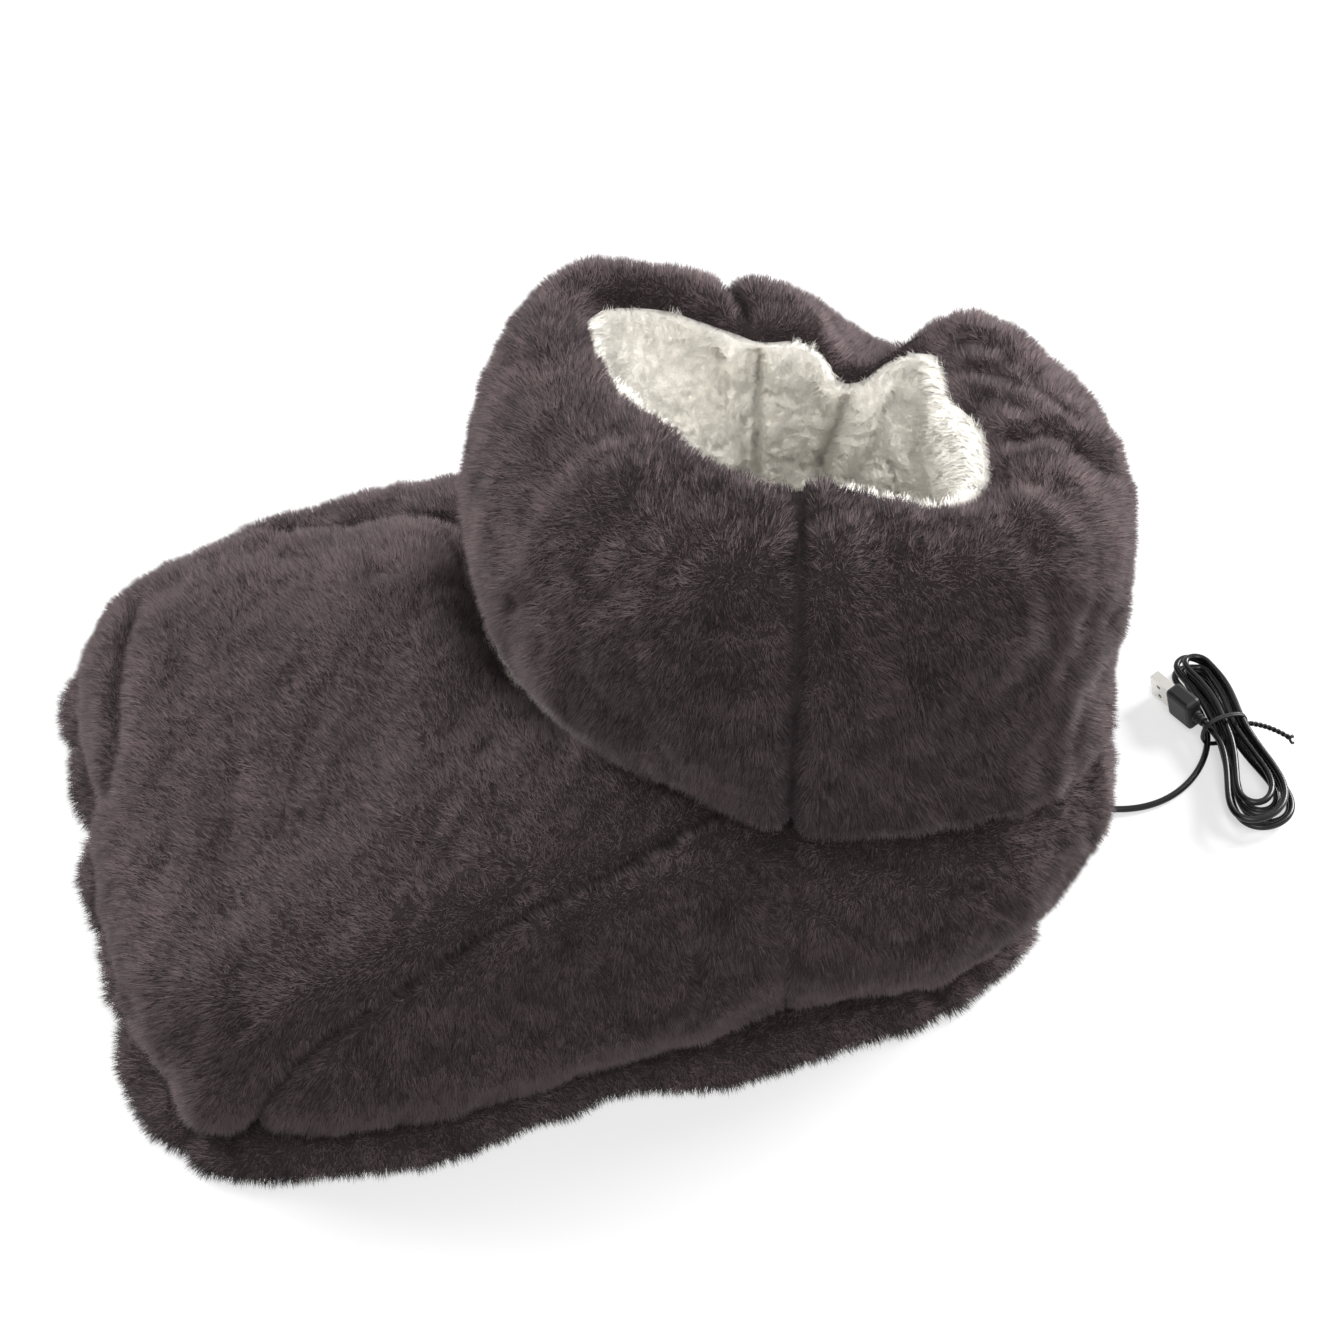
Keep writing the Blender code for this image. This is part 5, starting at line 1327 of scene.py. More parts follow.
# Folds, drawn as lines over the photograph in its pixels: line, width in pixels and height
UPPER_FOLDS = (
    (((250, 548), (290, 528), (330, 512)), 7, -0.0022),
    (((285, 552), (330, 530), (385, 508)), 8, -0.0028),
    (((372, 572), (415, 545), (460, 515)), 9, -0.0034),
    (((262, 535), (300, 514), (345, 497)), 7, 0.0024),
    (((305, 540), (345, 518), (400, 496)), 8, 0.0026),
    (((395, 556), (430, 532), (470, 508)), 9, 0.0026),
    (((700, 954), (697, 1006)), 8, -0.0035),
    (((755, 868), (783, 923), (785, 1003)), 6, -0.0030),
    (((798, 850), (841, 893)), 7, -0.0024),
    (((560, 905), (600, 935), (615, 990)), 10, -0.0018),
    (((450, 1070), (572, 1040), (652, 1008), (792, 985), (902, 960), (1000, 925)), 12, 0.0026),
    (((462, 540), (478, 600), (512, 652), (575, 702)), 26, -0.0150),
    (((425, 590), (480, 620), (520, 690)), 60, -0.0050),
    (((225, 1090), (290, 1108), (450, 1078), (600, 1038), (700, 1006)), 30, 0.0075),
    (((112, 850), (126, 950), (165, 1045), (225, 1090)), 26, 0.0055),
    (((330, 640), (400, 620), (440, 640)), 34, 0.0022),
    (((370, 820), (430, 850), (480, 870), (520, 885)), 9, -0.0022),
    (((478, 932), (500, 908), (532, 892)), 10, -0.0026),
    (((690, 960), (705, 975)), 10, -0.0030),
    (((560, 1000), (650, 1015), (700, 1000)), 10, -0.0022),
    (((860, 850), (920, 872), (985, 892)), 8, -0.0030),
    (((800, 900), (850, 925), (900, 950)), 10, -0.0020),
    (((640, 885), (700, 870), (760, 862)), 12, 0.0020),
    (((136, 600), (122, 660), (116, 730), (104, 800)), 9, -0.0055),
    (((160, 640), (150, 720), (146, 800)), 20, 0.0026),
    (((240, 760), (228, 840), (222, 900)), 12, -0.0016),
    (((330, 690), (300, 770), (292, 830)), 13, -0.0014),
    (((250, 1040), (300, 1000), (330, 960)), 14, 0.0020),
)

NECK_FOLDS = (
    (((760, 340), (758, 400), (756, 480)), 5, -0.0050),
    (((850, 388), (836, 425), (815, 480)), 7, -0.0060),
    (((738, 345), (738, 400), (738, 460)), 12, 0.0028),
    (((880, 385), (862, 425), (845, 470)), 14, 0.0040),
)

CUFF_FOLDS = (
    (((962, 342), (1000, 352), (1040, 380)), 6, -0.0035),
    (((968, 372), (1005, 378), (1045, 392), (1080, 425)), 6, -0.0040),
    (((985, 400), (1020, 412), (1060, 440)), 6, -0.0032),
    (((1008, 440), (1060, 434), (1122, 478)), 7, -0.0042),
    (((960, 326), (1005, 335), (1040, 362)), 6, 0.0022),
    (((1010, 425), (1060, 418), (1110, 452)), 7, 0.0025),
    (((700, 545), (675, 575), (640, 590), (600, 600)), 14, -0.0018),
    (((1000, 500), (1040, 560), (1050, 640)), 14, -0.0024),
    (((900, 560), (905, 640), (890, 720)), 16, -0.0018),
    (((585, 690), (640, 740), (700, 790)), 16, -0.0022),
)

# Heights in the photograph at which the border's lobes meet
BORDER_LOBES = (520, 640, 720, 800, 898, 988, 1085, 1170)
BORDER_FOLDS = (
    (((86, 828), (128, 832)), 6, -0.0045),
    (((92, 907), (132, 905)), 6, -0.0050),
    (((98, 992), (155, 984)), 7, -0.0060),
    (((196, 1050), (216, 1100), (236, 1150)), 7, -0.0035),
    (((420, 1100), (428, 1150)), 6, -0.0022),
    (((640, 1030), (652, 1085)), 7, -0.0030),
    (((900, 965), (930, 995), (960, 1010)), 7, -0.0035),
    (((880, 985), (905, 1010), (930, 1020)), 8, 0.0024),
)


def pile_on(name, grid, normal, flow, materials, seed, length=PILE_LENGTH, lift=PILE_LIFT, seam=None,
            painted_light_and_shade=None, mottle=1.0):
    """Plush pile over a grid: brushed one way, in soft tufts, with partings where it opens."""
    count = int(area_of(grid, False) * PILE_DENSITY * (1.0))
    i, j = scatter(grid, False, count)
    place = sampled(grid, i, j)
    sewn = np.zeros(len(i)) if seam is None else sampled(seam, i, j)
    up = unit(sampled(normal, i, j))
    way = flattened(sampled(flow, i, j), up)
    wide = noise(place, SWIRL_SIZE, seed)
    tuft = noise(place, TUFT_SIZE, seed + 1)
    small = noise(place, WISP_SIZE, seed + 2)
    way = turned_about(way, up, 0.55 * wide + 0.35 * tuft)
    aside = np.cross(up, way)
    crooked = place + aside * (PARTING_CROOK * noise(place, 0.008, seed + 9))[:, None]
    steps = (0.0, -PARTING_STEP, PARTING_STEP)
    parting, before, after = (parting_at(crooked + way * step, seed + 3) for step in steps)
    slope = after - before
    opened = ramp(parting, 0.30, 0.75)
    way = turned_about(way, up, 0.8 * small + RANDOM.normal(0, 0.45, len(i)))
    rise = lift + 12 * tuft + 10 * small + 60 * np.clip(slope, -0.6, 0.6)
    rise = rise + RANDOM.normal(0, 12, len(i))
    rise = np.radians(np.clip(rise, PILE_LEAST_RISE, PILE_MOST_RISE))
    way = unit(way * np.cos(rise)[:, None] + up * np.sin(rise)[:, None])
    long = length * (0.88 + 0.16 * noise(place, 0.012, seed + 5) + 0.20 * noise(place, 0.0058, seed + 7)
                     + 0.10 * small - 0.24 * opened + RANDOM.uniform(-0.22, 0.14, len(i)))
    long *= 1 - 0.62 * sewn
    fleck = ramp(noise(place, FLECK_SIZE, seed + 8), 0.25, 0.75)
    tone = 0.55 + 0.14 * noise(place, 0.030, seed + 6) + 0.20 * small + 0.10 * tuft - 0.26 * fleck
    tone += mottle * (0.20 * noise(place, 0.016, seed + 11) + 0.16 * noise(place, 0.0075, seed + 12))
    # Random tone, painted shade in the partings, and darker pile along the seams
    tone += RANDOM.normal(0, 0.25, len(i)) - 0.16 * opened - 0.45 * sewn
    # Painted light and shade from the caller, added to the pile's tone
    if painted_light_and_shade is not None:
        tone += sampled(painted_light_and_shade, i, j)
    shade = np.clip((tone * len(materials)).astype(int), 0, len(materials) - 1)
    thick = PILE_WIDTH * RANDOM.uniform(0.75, 1.25, len(i))
    return fibres(name, place, up, way, long, thick, shade, materials, PILE_SOFTNESS)


def parting_at(place, seed):
    """Where the pile opens: short crooked lines, from 0 to about 1."""
    line = 1 - np.abs(noise(place, PARTING_SIZE, seed)) * 5.2
    where = ramp(noise(place, PARTING_PATCH, seed + 1), 0.12, 0.62)
    return np.clip(line, 0, 1) * where


def fleece_on(name, grid, normal, closed, density, materials, length=FLEECE_LENGTH, width=FLEECE_WIDTH,
              seed=50, tuft_cells=(3.0, 4.0), rim=0.0, kept=None):
    """Curly fleece: fibres that lean together into small tufts."""
    count = int(area_of(grid, closed) * density * (1.0))
    i, j = scatter(grid, closed, count)
    place = sampled(grid, i, j)
    up = unit(sampled(normal, i, j))
    cell = np.stack([np.floor(i / tuft_cells[0]), np.floor(j / tuft_cells[1]), np.zeros_like(i)], axis=-1)
    bits = mixed_bits(cell.astype(np.int64), seed)
    jitter = [((bits >> np.uint32(8 * k)) & np.uint32(255)).astype(float) / 255 for k in range(3)]
    last = grid.shape[0] - (0 if closed else 1.001)
    ci = np.clip((cell[:, 0] + 0.2 + 0.6 * jitter[0]) * tuft_cells[0], 0, last)
    cj = np.clip((cell[:, 1] + 0.2 + 0.6 * jitter[1]) * tuft_cells[1], 0, grid.shape[1] - 1.001)
    ci = ci % grid.shape[0] if closed else ci
    tuft_up = unit(sampled(normal, ci, cj))
    spin = jitter[2] * 2 * math.pi
    lean = np.stack([np.cos(spin), np.sin(spin), jitter[0] - 0.6], axis=-1)
    top = sampled(grid, ci, cj) + tuft_up * (length * (0.8 + 0.35 * jitter[1]))[:, None]
    top = top + flattened(lean, tuft_up) * length * 0.45
    wild = flattened(RANDOM.normal(0, 1, place.shape), up)
    aim = place + up * length + wild * length * 0.5
    share = RANDOM.uniform(0.25, 0.75, len(i))[:, None]
    target = aim * (1 - share) + top * share
    way = unit(target - place)
    long = np.minimum(np.linalg.norm(target - place, axis=1), length * FLEECE_MOST_SHARE)
    long *= RANDOM.uniform(0.8, 1.1, len(i)) * (1 + rim * bell(j, RIM_ROWS))
    if kept is not None:
        long *= sampled(kept, i, j)
    tone = 0.66 + 0.20 * noise(place, 0.005, seed + 1) + RANDOM.normal(0, 0.24, len(i))
    shade = np.clip((tone * len(materials)).astype(int), 0, len(materials) - 1)
    thick = width * RANDOM.uniform(0.7, 1.2, len(i))
    return fibres(name, place, up, way, long, thick, shade, materials, 0.40, buried=0.0008)


def pile_in_parts(name, grid, normal, flow, shades, seed, seam=None, painted_light_and_shade=None, **more):
    """Pile over a grid as pieces of at most MOST_FIBRES."""
    parts = math.ceil(area_of(grid, False) * PILE_DENSITY / MOST_FIBRES)
    cells = np.cross(np.gradient(grid, axis=0), np.gradient(grid, axis=1))
    size = np.linalg.norm(cells, axis=-1).sum(axis=1)
    share = np.concatenate([[0.0], np.cumsum(size[:-1] + size[1:])])
    cuts = np.searchsorted(share / share[-1], np.arange(1, parts) / parts)
    limits = [0, *cuts, len(grid) - 1]
    for k, (first, last) in enumerate(zip(limits[:-1], limits[1:])):
        part = slice(first, last + 1)
        title = f"{name}_{k + 1}" if parts > 1 else name
        pile_on(title, grid[part], normal[part], flow[part], shades, seed,
                seam=None if seam is None else seam[part],
                painted_light_and_shade=None if painted_light_and_shade is None else painted_light_and_shade[part], **more)


def make_upper_skins(plush, shades):
    """The five outer panels as one continuous surface, split at its seams, each with its pile."""
    coarse, _, edges = upper_grid()
    coarse = coarse + SHIFT
    limits = list(edges) + [len(coarse)]
    places, starts = [], []
    for panel, first, last in zip(PANELS, limits[:-1], limits[1:]):
        steps = CELL_STEPS[panel]
        starts.append(len(places))
        places += [first + k / steps for k in range((last - first) * steps)]
    starts.append(len(places))
    rows = np.arange(WALL_ROWS * ROW_STEPS + 1) / ROW_STEPS
    grid = finer(coarse, np.array(places), rows, True)
    normal = grid_normals(grid, closed=True)
    deep = seam_gaps(grid, starts, (starts[0], starts[1], starts[-1]))
    faint = seam_gaps(grid, starts, starts[2:-1])
    sewn = np.maximum(bell(deep, SEAM_REACH), FAINT_SEAM * bell(faint, SEAM_REACH))
    height_up = lengths(grid, 1)
    top_gap = height_up[:, -1:] - height_up
    topside = ramp(normal[..., 2], *TOPSIDE_SLOPES)
    height = layered(grid, UPPER_WAVES)
    height += (RIPPLE_HEIGHT - RIPPLE_CALM * topside) * noise(grid, RIPPLE_SIZE, 5)
    x, y, z = (grid[..., k] for k in range(3))
    slanted = np.stack([x + y, y - x, z], axis=-1) / CREASE_LENGTHS
    height += CREASE_HEIGHT * topside * (1 - 2.2 * np.abs(noise(slanted, 1.0, 7)))
    height += WALL_WAVE_HEIGHT * (1 - topside) * noise(grid * np.array([1, 1, 0.4]), WALL_WAVE_SIZE, 8)
    pucker = noise(np.stack([height_up, np.full_like(height_up, 0.2)], axis=-1), PUCKER_SIZE, 6)
    groove = bell(deep, SEAM_WIDTH) + FAINT_SEAM * bell(faint, FAINT_SEAM_WIDTH)
    height -= SEAM_DEPTH * groove * (1 + 0.25 * pucker)
    height += PUCKER_HEIGHT * pucker * (bell(deep, PUCKER_REACH) - bell(deep, PUCKER_START))
    height -= SOLE_SEAM_DEPTH * bell(height_up, SOLE_SEAM_WIDTH)
    height += folded(grid, normal, UPPER_FOLDS)
    height *= ramp(top_gap, 0.0, TOP_FADE)
    grid = grid + normal * (height - SKIN_DEPTH)[..., None]
    # Painted light near the foot of the walls and painted shadow under the cuff, for the pile's tone
    painted_light_and_shade = FOOT_PAINTED_LIGHT * bell(height_up - FOOT_PAINTED_LIGHT_AT, FOOT_PAINTED_LIGHT_REACH) * (1 - topside)
    painted_light_and_shade = painted_light_and_shade - TOP_PAINTED_SHADE * bell(top_gap, TOP_PAINTED_SHADE_REACH)
    normal = grid_normals(grid, closed=True)
    toe = flattened(np.broadcast_to(np.array([0.0, -1.0, 0.0]), grid.shape), normal)
    down = -unit(np.gradient(grid, axis=1))
    level = np.clip(normal[..., 2:], 0, 1)
    flow = unit(toe * (0.25 + 1.0 * level) + down * (1.0 - 0.75 * level))
    for panel, first, last in zip(PANELS, starts[:-1], starts[1:]):
        chosen = np.arange(first, last + 1) % len(grid)
        piece_grid, piece_normal, piece_flow = grid[chosen], normal[chosen], flow[chosen]
        piece = skin(f"{panel}_skin", piece_grid, False, plush)
        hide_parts(f"{panel}_plush", f"{panel}_wadding")
        pile_in_parts(f"{panel}_pile", piece_grid, piece_normal, piece_flow, shades, 10, seam=sewn[chosen],
                      painted_light_and_shade=painted_light_and_shade[chosen], mottle=PANEL_MOTTLE.get(panel, 1.0))


def make_upper_linings(fleece, shades):
    """The fleece inside the panels."""
    coarse, normal, edges = upper_grid()
    coarse = coarse + SHIFT
    inner = coarse - normal * (WALL_THICKNESS - SKIN_DEPTH)
    limits = list(edges) + [len(coarse)]
    steps = LINING_STEPS
    rows = np.arange(WALL_ROWS * steps + 1) / steps
    places = np.arange(len(coarse) * steps) / steps
    smooth = finer(inner, places, rows, True)
    facing = -grid_normals(smooth, closed=True)
    grid = smooth + facing * layered(smooth, LINING_WAVES)[..., None]
    for panel, first, last in zip(PANELS, limits[:-1], limits[1:]):
        chosen = np.arange(first * steps, last * steps + 1) % len(grid)
        piece = skin(f"{panel}_fleece", grid[chosen][::-1], False, fleece)
        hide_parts(f"{panel}_lining")
        hairs = fleece_on(f"{panel}_fleece_pile", grid[chosen], facing[chosen], False, LINING_DENSITY,
                          shades, length=LINING_LENGTH, width=LINING_WIDTH, seed=60, tuft_cells=(2.0, 2.0))


def make_cuff_skins(plush, plush_shades, fleece, fleece_shades):
    """Both halves of the cuff: plush over the outside, fleece down the neck."""
    coarse, _ = cuff_grid()
    coarse = coarse + SHIFT
    steps = CUFF_STEPS
    places = np.arange(len(coarse) * steps) / steps
    seam_row = len(CUFF_OUT_SHARES) - 1
    fleece_cells = coarse.shape[1] - 1 - seam_row
    plush_rows = np.arange(seam_row * CUFF_PLUSH_STEPS + 1) / CUFF_PLUSH_STEPS
    fleece_rows = seam_row + np.arange(fleece_cells * CUFF_FLEECE_STEPS + 1) / CUFF_FLEECE_STEPS
    outer = finer(coarse, places, plush_rows, True)
    inner = finer(coarse, places, fleece_rows, True)
    joins = (0, FRONT_STATIONS * steps, len(places))
    normal = grid_normals(outer, closed=True)
    from_seam = seam_gaps(outer, joins, joins)
    sewn = bell(from_seam, SEAM_REACH)
    rise = lengths(outer, 1)
    to_rim = rise[:, -1:] - rise
    height = layered(outer, CUFF_WAVES)
    height += 0.0014 * noise(outer * np.array([1, 1, 0.45]), 0.015, 12)
    pucker = 1 + 0.2 * noise(outer, 0.02, 16)
    height -= CUFF_SEAM_DEPTH * bell(from_seam, CUFF_SEAM_WIDTH) * pucker * ramp(to_rim, 0.003, 0.020)
    height += 0.0016 * noise(outer * np.array([1, 1, 1.6]), 0.018, 17) * bell(from_seam, 0.018)
    height -= 0.0006 * bell(to_rim, 0.006)
    height += folded(outer, normal, CUFF_FOLDS)
    height *= ramp(rise, 0.0, 0.02)
    outer = outer + normal * (height - SKIN_DEPTH)[..., None]
    smooth = inner.copy()
    inner_normal = grid_normals(inner, closed=True)
    inner_seam = seam_gaps(inner, joins, joins)
    dip = 0.0045 * bell(inner_seam, 0.0042)
    curl = 1 - np.abs(noise(inner, 0.0060, 20)) * 2.4
    lump = layered(inner, NECK_WAVES) + 0.0009 * curl + folded(inner, inner_normal, NECK_FOLDS)
    below = lengths(inner, 1)
    kept = 1 - 0.7 * bell(inner_seam, 0.0070) * bell(below, 0.016)
    lump = (lump - dip) * ramp(below, 0.0, 0.008)
    inner = inner + inner_normal * (lump + 0.0010)[..., None]
    inner[:, 0] = outer[:, -1]
    normal = grid_normals(outer, closed=True)
    inner_normal = grid_normals(inner, closed=True)
    down = -unit(np.gradient(outer, axis=1))
    swirl = unit(np.roll(outer, -1, axis=0) - np.roll(outer, 1, axis=0))
    flow = unit(down + 0.25 * swirl)
    for name, first, last in (("front", joins[0], joins[1]), ("back", joins[1], joins[2])):
        chosen = np.arange(first, last + 1) % len(outer)
        piece = skin(f"cuff_{name}_skin", outer[chosen], False, plush)
        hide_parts(f"cuff_plush_{name}", f"cuff_filling_{name}")
        low_row = int(CUFF_PILE_FROM * CUFF_PLUSH_STEPS)
        pile_in_parts(f"cuff_{name}_pile", outer[chosen][:, low_row:], normal[chosen][:, low_row:],
                      flow[chosen][:, low_row:], plush_shades, 30, seam=sewn[chosen][:, low_row:])
        lining = skin(f"cuff_{name}_fleece", inner[chosen], False, fleece)
        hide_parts(f"cuff_lining_{name}")
        hairs = fleece_on(f"cuff_{name}_fleece_pile", inner[chosen], inner_normal[chosen], False,
                          FLEECE_DENSITY, fleece_shades, rim=RIM_LONGER, kept=kept[chosen])


def upward_normals(grid):
    """Normals of an open grid, turned so that those of its middle row point up."""
    normal = grid_normals(grid, closed=False)
    return -normal if normal[:, grid.shape[1] // 2, 2].mean() < 0 else normal


def make_border(plush, shades):
    """The plush strip round the sole, gathered by its stitching."""
    length = (UPPER_HEEL_Y - UPPER_TOE_Y) * 2 + UPPER_HALF_WIDTH * 4
    half_gap = FLANGE_SPLIT / 2 / length
    shares = np.linspace(EXIT_SHARE + half_gap, EXIT_SHARE + 1 - half_gap, BORDER_STATIONS)
    section = np.array([
        (FLANGE_TUCK, FOAM_BASE),
        (FLANGE_NOSE_INSET - FLANGE_WIDTH, FOAM_BASE),
        (-FLANGE_WIDTH, FOAM_BASE + FLANGE_NOSE_HEIGHT),
        (FLANGE_CROWN_INSET - FLANGE_WIDTH, FOAM_BASE + FLANGE_CROWN_HEIGHT),
        (0.0, FOAM_TOP),
        (FLANGE_TUCK, FOAM_TOP),
    ])
    rows = np.arange((len(section) - 1) * BORDER_STEPS + 1) / BORDER_STEPS
    section = along(section, rows, False)
    reach = flange_reach(np.mod(shares, 1.0))
    ring, _ = outline(shares)
    toe = ramp(-ring[:, 1], *BORDER_TOE)
    side = ramp(-ring[:, 1], *BORDER_SIDE) * ramp(ring[:, 0], *BORDER_SIDE_ACROSS)
    down = seen_at(np.column_stack([ring, np.full(len(ring), 0.02)]) + SHIFT)[:, 1]
    beat = np.interp(down, BORDER_LOBES, np.arange(len(BORDER_LOBES)))
    lobe = np.abs(np.sin(math.pi * beat))
    puff = (lobe**LOBE_POWER - LOBE_MIDDLE) * toe
    gather = layered(ring, BORDER_GATHERS) + LOBE_REACH * puff + SIDE_REACH * side - TOE_TUCK * toe
    swelling = SWELL_WAVE_SHARE * noise(ring, SWELL_WAVE_SIZE, 43)
    swelling = swelling + LOBE_SWELL_SHARE * puff - SWELL_DROP_SHARE
    lines = []
    for inset, height in section:
        loose = max(0.0, -inset / FLANGE_WIDTH)
        plan, _ = outline(shares, inset - (reach + gather) * loose)
        tall = FOAM_BASE + (height - FOAM_BASE) * (1 + swelling * loose)
        lines.append(np.column_stack([plan, tall]))
    grid = np.stack(lines, axis=1) + SHIFT
    normal = upward_normals(grid)
    height = BORDER_LUMP * noise(grid, BORDER_LUMP_SIZE, 45) + folded(grid, normal, BORDER_FOLDS)
    grid = grid + normal * (height * (grid[..., 2] > 0.006))[..., None]
    normal = upward_normals(grid)
    piece = skin("sole_border_skin", grid, False, plush)
    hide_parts("sole_border_plush")
    outwards = np.cross(unit(np.gradient(grid, axis=0)), np.array([0.0, 0.0, 1.0]))
    flow = unit(outwards + np.array([0.0, 0.0, -0.3]))
    low, high = BORDER_BARE_ROWS, len(rows) - BORDER_BARE_ROWS
    # The pile round the toe is toned darker as painted shade
    pile_in_parts("sole_border_pile", grid[:, low:high], normal[:, low:high], flow[:, low:high], shades, 70,
                  length=BORDER_PILE_LENGTH, lift=BORDER_PILE_LIFT,
                  painted_light_and_shade=np.repeat(-BORDER_TOE_PAINTED_SHADE * toe[:, None], high - low, axis=1))


def soft_copy(node_name, name, material, bumps):
    """A soft solid of the frame again as its own piece, with a worked surface."""
    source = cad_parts[node_name]
    points = [tuple(v.co) for v in source.data.vertices]
    data = bpy.data.meshes.new(name)
    data.from_pydata(points, [], [tuple(p.vertices) for p in source.data.polygons])
    piece = bpy.data.objects.new(name, data)
    bpy.context.scene.collection.objects.link(piece)
    shape = bmesh.new()
    shape.from_mesh(data)
    bmesh.ops.remove_doubles(shape, verts=shape.verts, dist=1e-6)
    shape.normal_update()
    places = np.array([v.co for v in shape.verts])
    facing = np.array([v.normal for v in shape.verts])
    moved = places + facing * (bumps * noise(places, 0.02, 90) - bumps)[:, None]
    for vertex, place in zip(shape.verts, moved):
        vertex.co = place
    shape.to_mesh(data)
    shape.free()
    data.materials.append(material)
    data.shade_smooth()
    data.set_sharp_from_angle(angle=math.radians(45))
    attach(piece, "root")
    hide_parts(node_name)
    return piece


def make_insole(fleece, shades):
    """The fleece insole, as rings from its edge to its middle."""
    inset = WALL_THICKNESS + INSOLE_CLEARANCE
    shares = np.linspace(0, 1, INSOLE_STATIONS, endpoint=False)
    edge, _ = outline(shares, np.full(len(shares), inset))
    middle = edge.mean(axis=0)
    rings = np.maximum(np.linspace(INSOLE_OUTER_RING, 0.0, INSOLE_RINGS), INSOLE_LEAST_RING)
    lines = []
    for ring, lift in [*INSOLE_EDGE, *((inner, 1.0) for inner in rings)]:
        plan = middle + (edge - middle) * ring
        lines.append(np.column_stack([plan, np.full(len(plan), INSOLE_BASE + INSOLE_THICKNESS * lift)]))
    grid = np.stack(lines, axis=1) + SHIFT
    top = grid[:, len(INSOLE_EDGE) - 1:]
    curl = 1 - np.abs(noise(top, 0.0070, 83)) * 2.4
    grid[:, 3:, 2] += -0.0014 + 0.0012 * noise(top, 0.035, 81) + 0.0010 * curl
    piece = skin("insole_skin", grid, True, fleece)
    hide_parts("insole_fleece")
    up = np.zeros_like(grid)
    up[..., 2] = 1.0
    fleece_on("insole_pile", grid[:, 3:], up[:, 3:], True, INSOLE_DENSITY, shades,
              length=INSOLE_PILE_LENGTH, width=INSOLE_PILE_WIDTH, seed=82, tuft_cells=(2.0, 1.0))


# Floor, lamps and world
FLOOR_HALF = 6.0
FLOOR_LEVEL = -0.0003
FLOOR_FADE = (0.35, 1.1)
FLOOR_BOUNCE = 0.88
FLOOR_TONE = 0.93
FLOOR_WHITE = 0.54
WORLD_LEVEL = 0.22
LAMPS = (
    ("left_box", (-1.15, -1.35, 0.85), (0.0, -0.02, 0.06), 0.8, 45.0),
    ("right_box", (-0.35, 1.65, 0.85), (0.0, 0.05, 0.10), 0.8, 62.0),
    ("top_box", (0.46, 0.06, 1.60), (0.02, 0.06, 0.12), 0.5, 5.0),
    ("front_box", (1.25, -0.25, 1.55), (0.0, 0.0, 0.08), 0.9, 16.5),
)


def seen_directly(made):
    """One where a ray comes from the camera, or off metal, plastic or glass; else nought."""
    rays = node(made, "ShaderNodeLightPath")
    mirrored = computed(made, "MAXIMUM", rays.outputs["Is Glossy Ray"], rays.outputs["Is Transmission Ray"])
    return computed(made, "MAXIMUM", rays.outputs["Is Camera Ray"], mirrored)


def mixed_shaders(made, share, first, second):
    """Two shaders mixed by a value."""
    item = node(made, "ShaderNodeMixShader")
    for start, end in zip((share, first.outputs[0], second.outputs[0]), item.inputs):
        link(made, start, end)
    return item.outputs[0]


def make_stage():
    """White floor: shows as white paper, keeps the shadow, and throws back less light than it shows."""
    data = bpy.data.meshes.new("floor")
    corners = ((-1, -1), (1, -1), (1, 1), (-1, 1))
    data.from_pydata([(x * FLOOR_HALF, y * FLOOR_HALF, FLOOR_LEVEL) for x, y in corners], [], [(0, 1, 2, 3)])
    floor = bpy.data.objects.new("floor", data)
    bpy.context.scene.collection.objects.link(floor)
    made = new_material("floor_paper", (FLOOR_TONE,) * 3, 1.0)
    shader = made.node_tree.nodes["Principled BSDF"]
    shader.inputs["Specular IOR Level"].default_value = 0.0
    direct = seen_directly(made)
    set_colour(made, blended(made, direct, (FLOOR_BOUNCE,) * 3, (FLOOR_TONE,) * 3))
    away = node(made, "ShaderNodeVectorMath")
    away.operation = "LENGTH"
    link(made, node(made, "ShaderNodeTexCoord").outputs["Object"], away.inputs[0])
    near, far = FLOOR_FADE
    fade = node(made, "ShaderNodeMapRange", From_Min=near, From_Max=far, To_Min=FLOOR_WHITE, To_Max=1.0)
    fade.interpolation_type = "SMOOTHSTEP"
    link(made, away.outputs["Value"], fade.inputs["Value"])
    share = computed(made, "MULTIPLY", direct, fade.outputs["Result"])
    glow = node(made, "ShaderNodeEmission", Strength=1.0)
    shown = mixed_shaders(made, share, shader, glow)
    link(made, shown, made.node_tree.nodes["Material Output"].inputs["Surface"])
    data.materials.append(made)


def area_lamp(name, place, aim, size, power):
    """A square lamp that faces its aim."""
    data = bpy.data.lights.new(name, "AREA")
    data.shape = "SQUARE"
    data.size = size
    data.energy = power
    item = bpy.data.objects.new(name, data)
    bpy.context.scene.collection.objects.link(item)
    item.location = place
    way = Vector(aim) - Vector(place)
    item.rotation_mode = "QUATERNION"
    item.rotation_quaternion = way.to_track_quat("-Z", "Y")


def make_world():
    """White where it is seen, and a weak even light."""
    world = bpy.data.worlds.new("studio")
    bpy.context.scene.world = world
    world.use_nodes = True
    world.node_tree.nodes.clear()
    plain = node(world, "ShaderNodeBackground", Strength=WORLD_LEVEL, Color=WHITE)
    shown = node(world, "ShaderNodeBackground", Strength=1.0, Color=WHITE)
    out = node(world, "ShaderNodeOutputWorld")
    link(world, mixed_shaders(world, seen_directly(world), plain, shown), out.inputs["Surface"])


def make_cord(black, grip):
    """The free lead and the twist tie that rides on it."""
    lead, line = make_lead(black)
    tie = make_tie(grip)


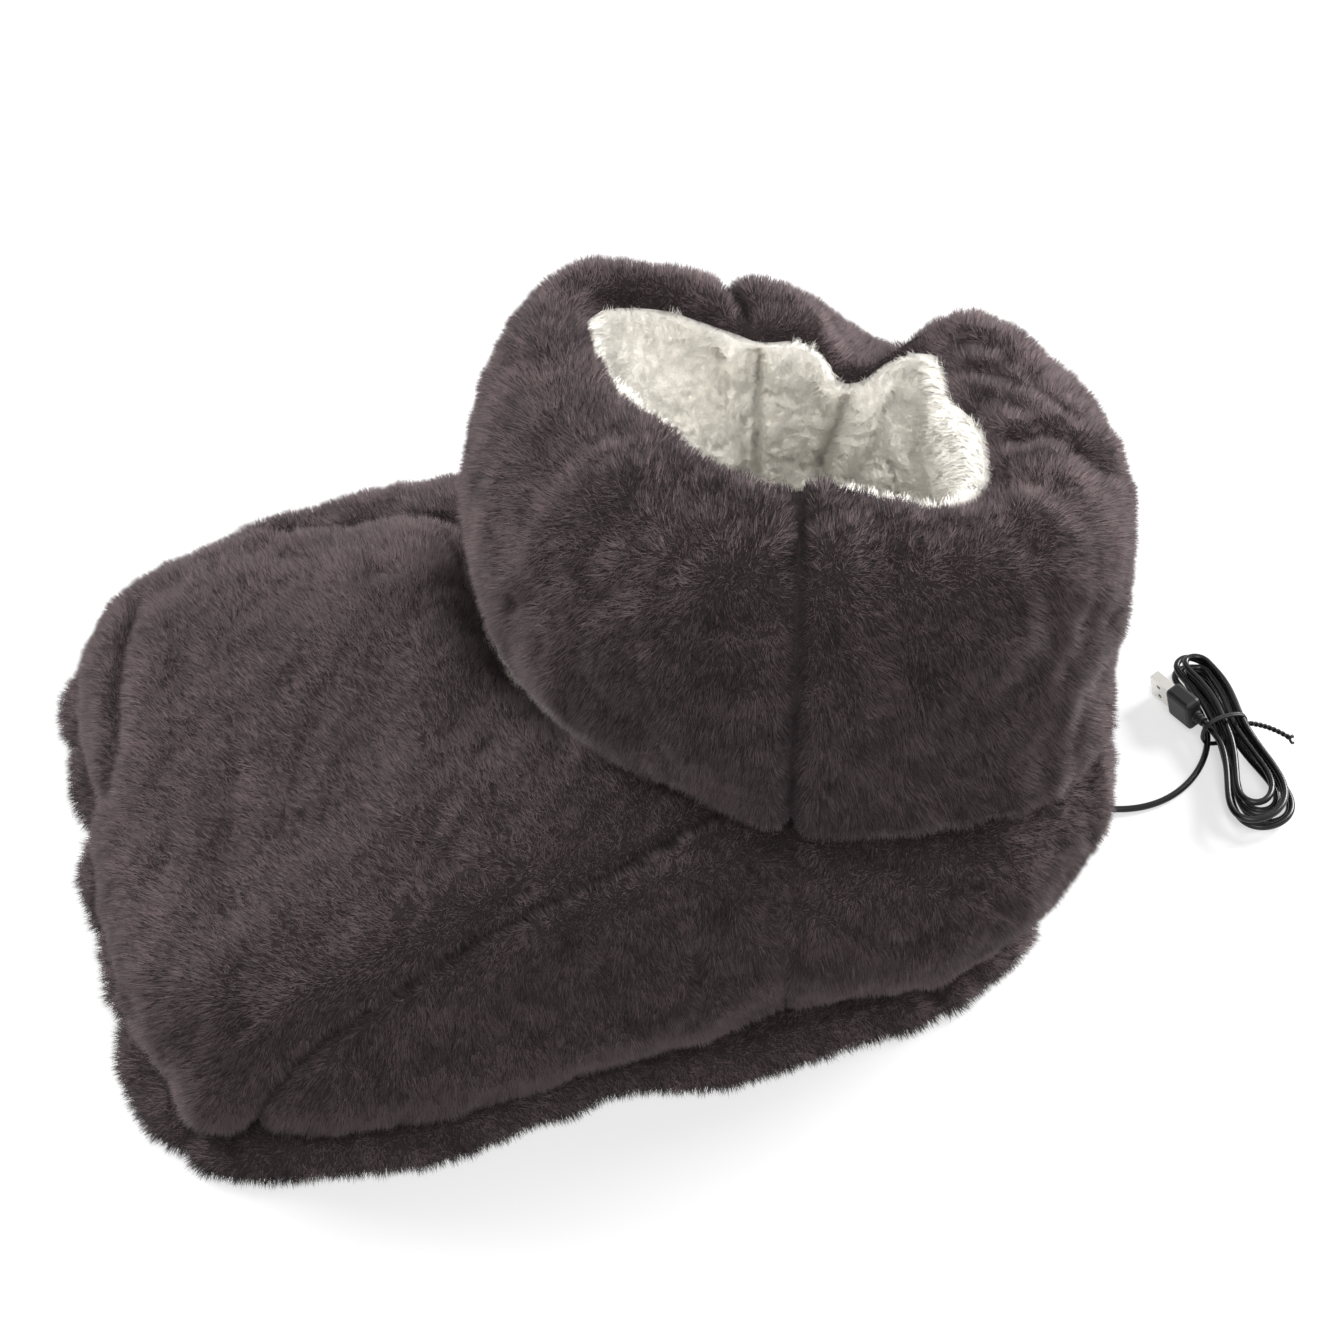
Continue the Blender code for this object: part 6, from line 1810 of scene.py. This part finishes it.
def finish_hard_pieces(black, grip):
    """Materials and edges of the CAD nodes that stay."""
    white = make_plastic("white_moulding", WHITE_PLASTIC, 0.35, 0.5)
    repaint(["usb_shell"], make_metal("nickel_plate", NICKEL, 0.20, 0.36))
    repaint(CONTACT_NAMES, make_metal("contact_gold", CONTACT_GOLD, 0.22, 0.34))
    repaint(["usb_tongue", "thermal_cutoff", "crimp_sleeve_left", "crimp_sleeve_right"], white)
    repaint(["usb_grip", "usb_boot", "strain_relief"], grip)
    repaint(["lead_inside", "lead_core_right"], black)
    repaint(["lead_core_left"], make_plastic("red_jacket", RED_PVC, 0.35, 0.5))
    repaint(["heating_wire"], make_plastic("silicone_wire", SILICONE, 0.45, 0.6))
    round_edges("usb_shell", 0.00012, 2)


def make_sole_layers():
    """Sole cloth, foam board and the two felt covers."""
    cloth = make_woven("sole_cloth", SOLE_CREAM, 420.0)
    foam = make_felted("foam", FOAM_GREY, 700.0, 0.0003)
    felt = make_felted("felt", FELT_WHITE, 420.0, 0.0002)
    sole = soft_copy("outsole_fabric", "sole_cloth_sheet", cloth, bumps=0.0001)
    board = soft_copy("sole_foam", "foam_board", foam, bumps=0.00015)
    low = soft_copy("heater_cover_bottom", "felt_cover_low", felt, bumps=0.00005)
    high = soft_copy("heater_cover_top", "felt_cover_high", felt, bumps=0.00005)


def main():
    make_camera()
    bpy.context.scene.view_settings.view_transform = "Standard"
    black = make_plastic("cable_jacket", BLACK_PVC, 0.20, 0.34, shine=0.30)
    grip = make_plastic("moulded_grip", GRIP_BLACK, 0.40, 0.56, depth=0.00006, scale=1400.0, shine=0.35)
    make_cord(black, grip)
    finish_hard_pieces(black, grip)
    plush = make_plush_skin()
    plush_shades = make_shades("plush_pile", PLUSH, PLUSH_SHADES, PLUSH_SHEEN, PLUSH_DARK_TINT,
                               PLUSH_LIGHT_TINT)
    fleece = make_fleece_skin()
    fleece_shades = make_shades("fleece_pile", FLEECE, FLEECE_SHADES, 0.0)
    make_upper_skins(plush, plush_shades)
    make_cuff_skins(plush, plush_shades, fleece, fleece_shades)
    make_border(plush, plush_shades)
    make_upper_linings(fleece, fleece_shades)
    make_insole(fleece, fleece_shades)
    make_sole_layers()
    make_stage()
    for lamp in LAMPS:
        area_lamp(*lamp)
    make_world()


main()
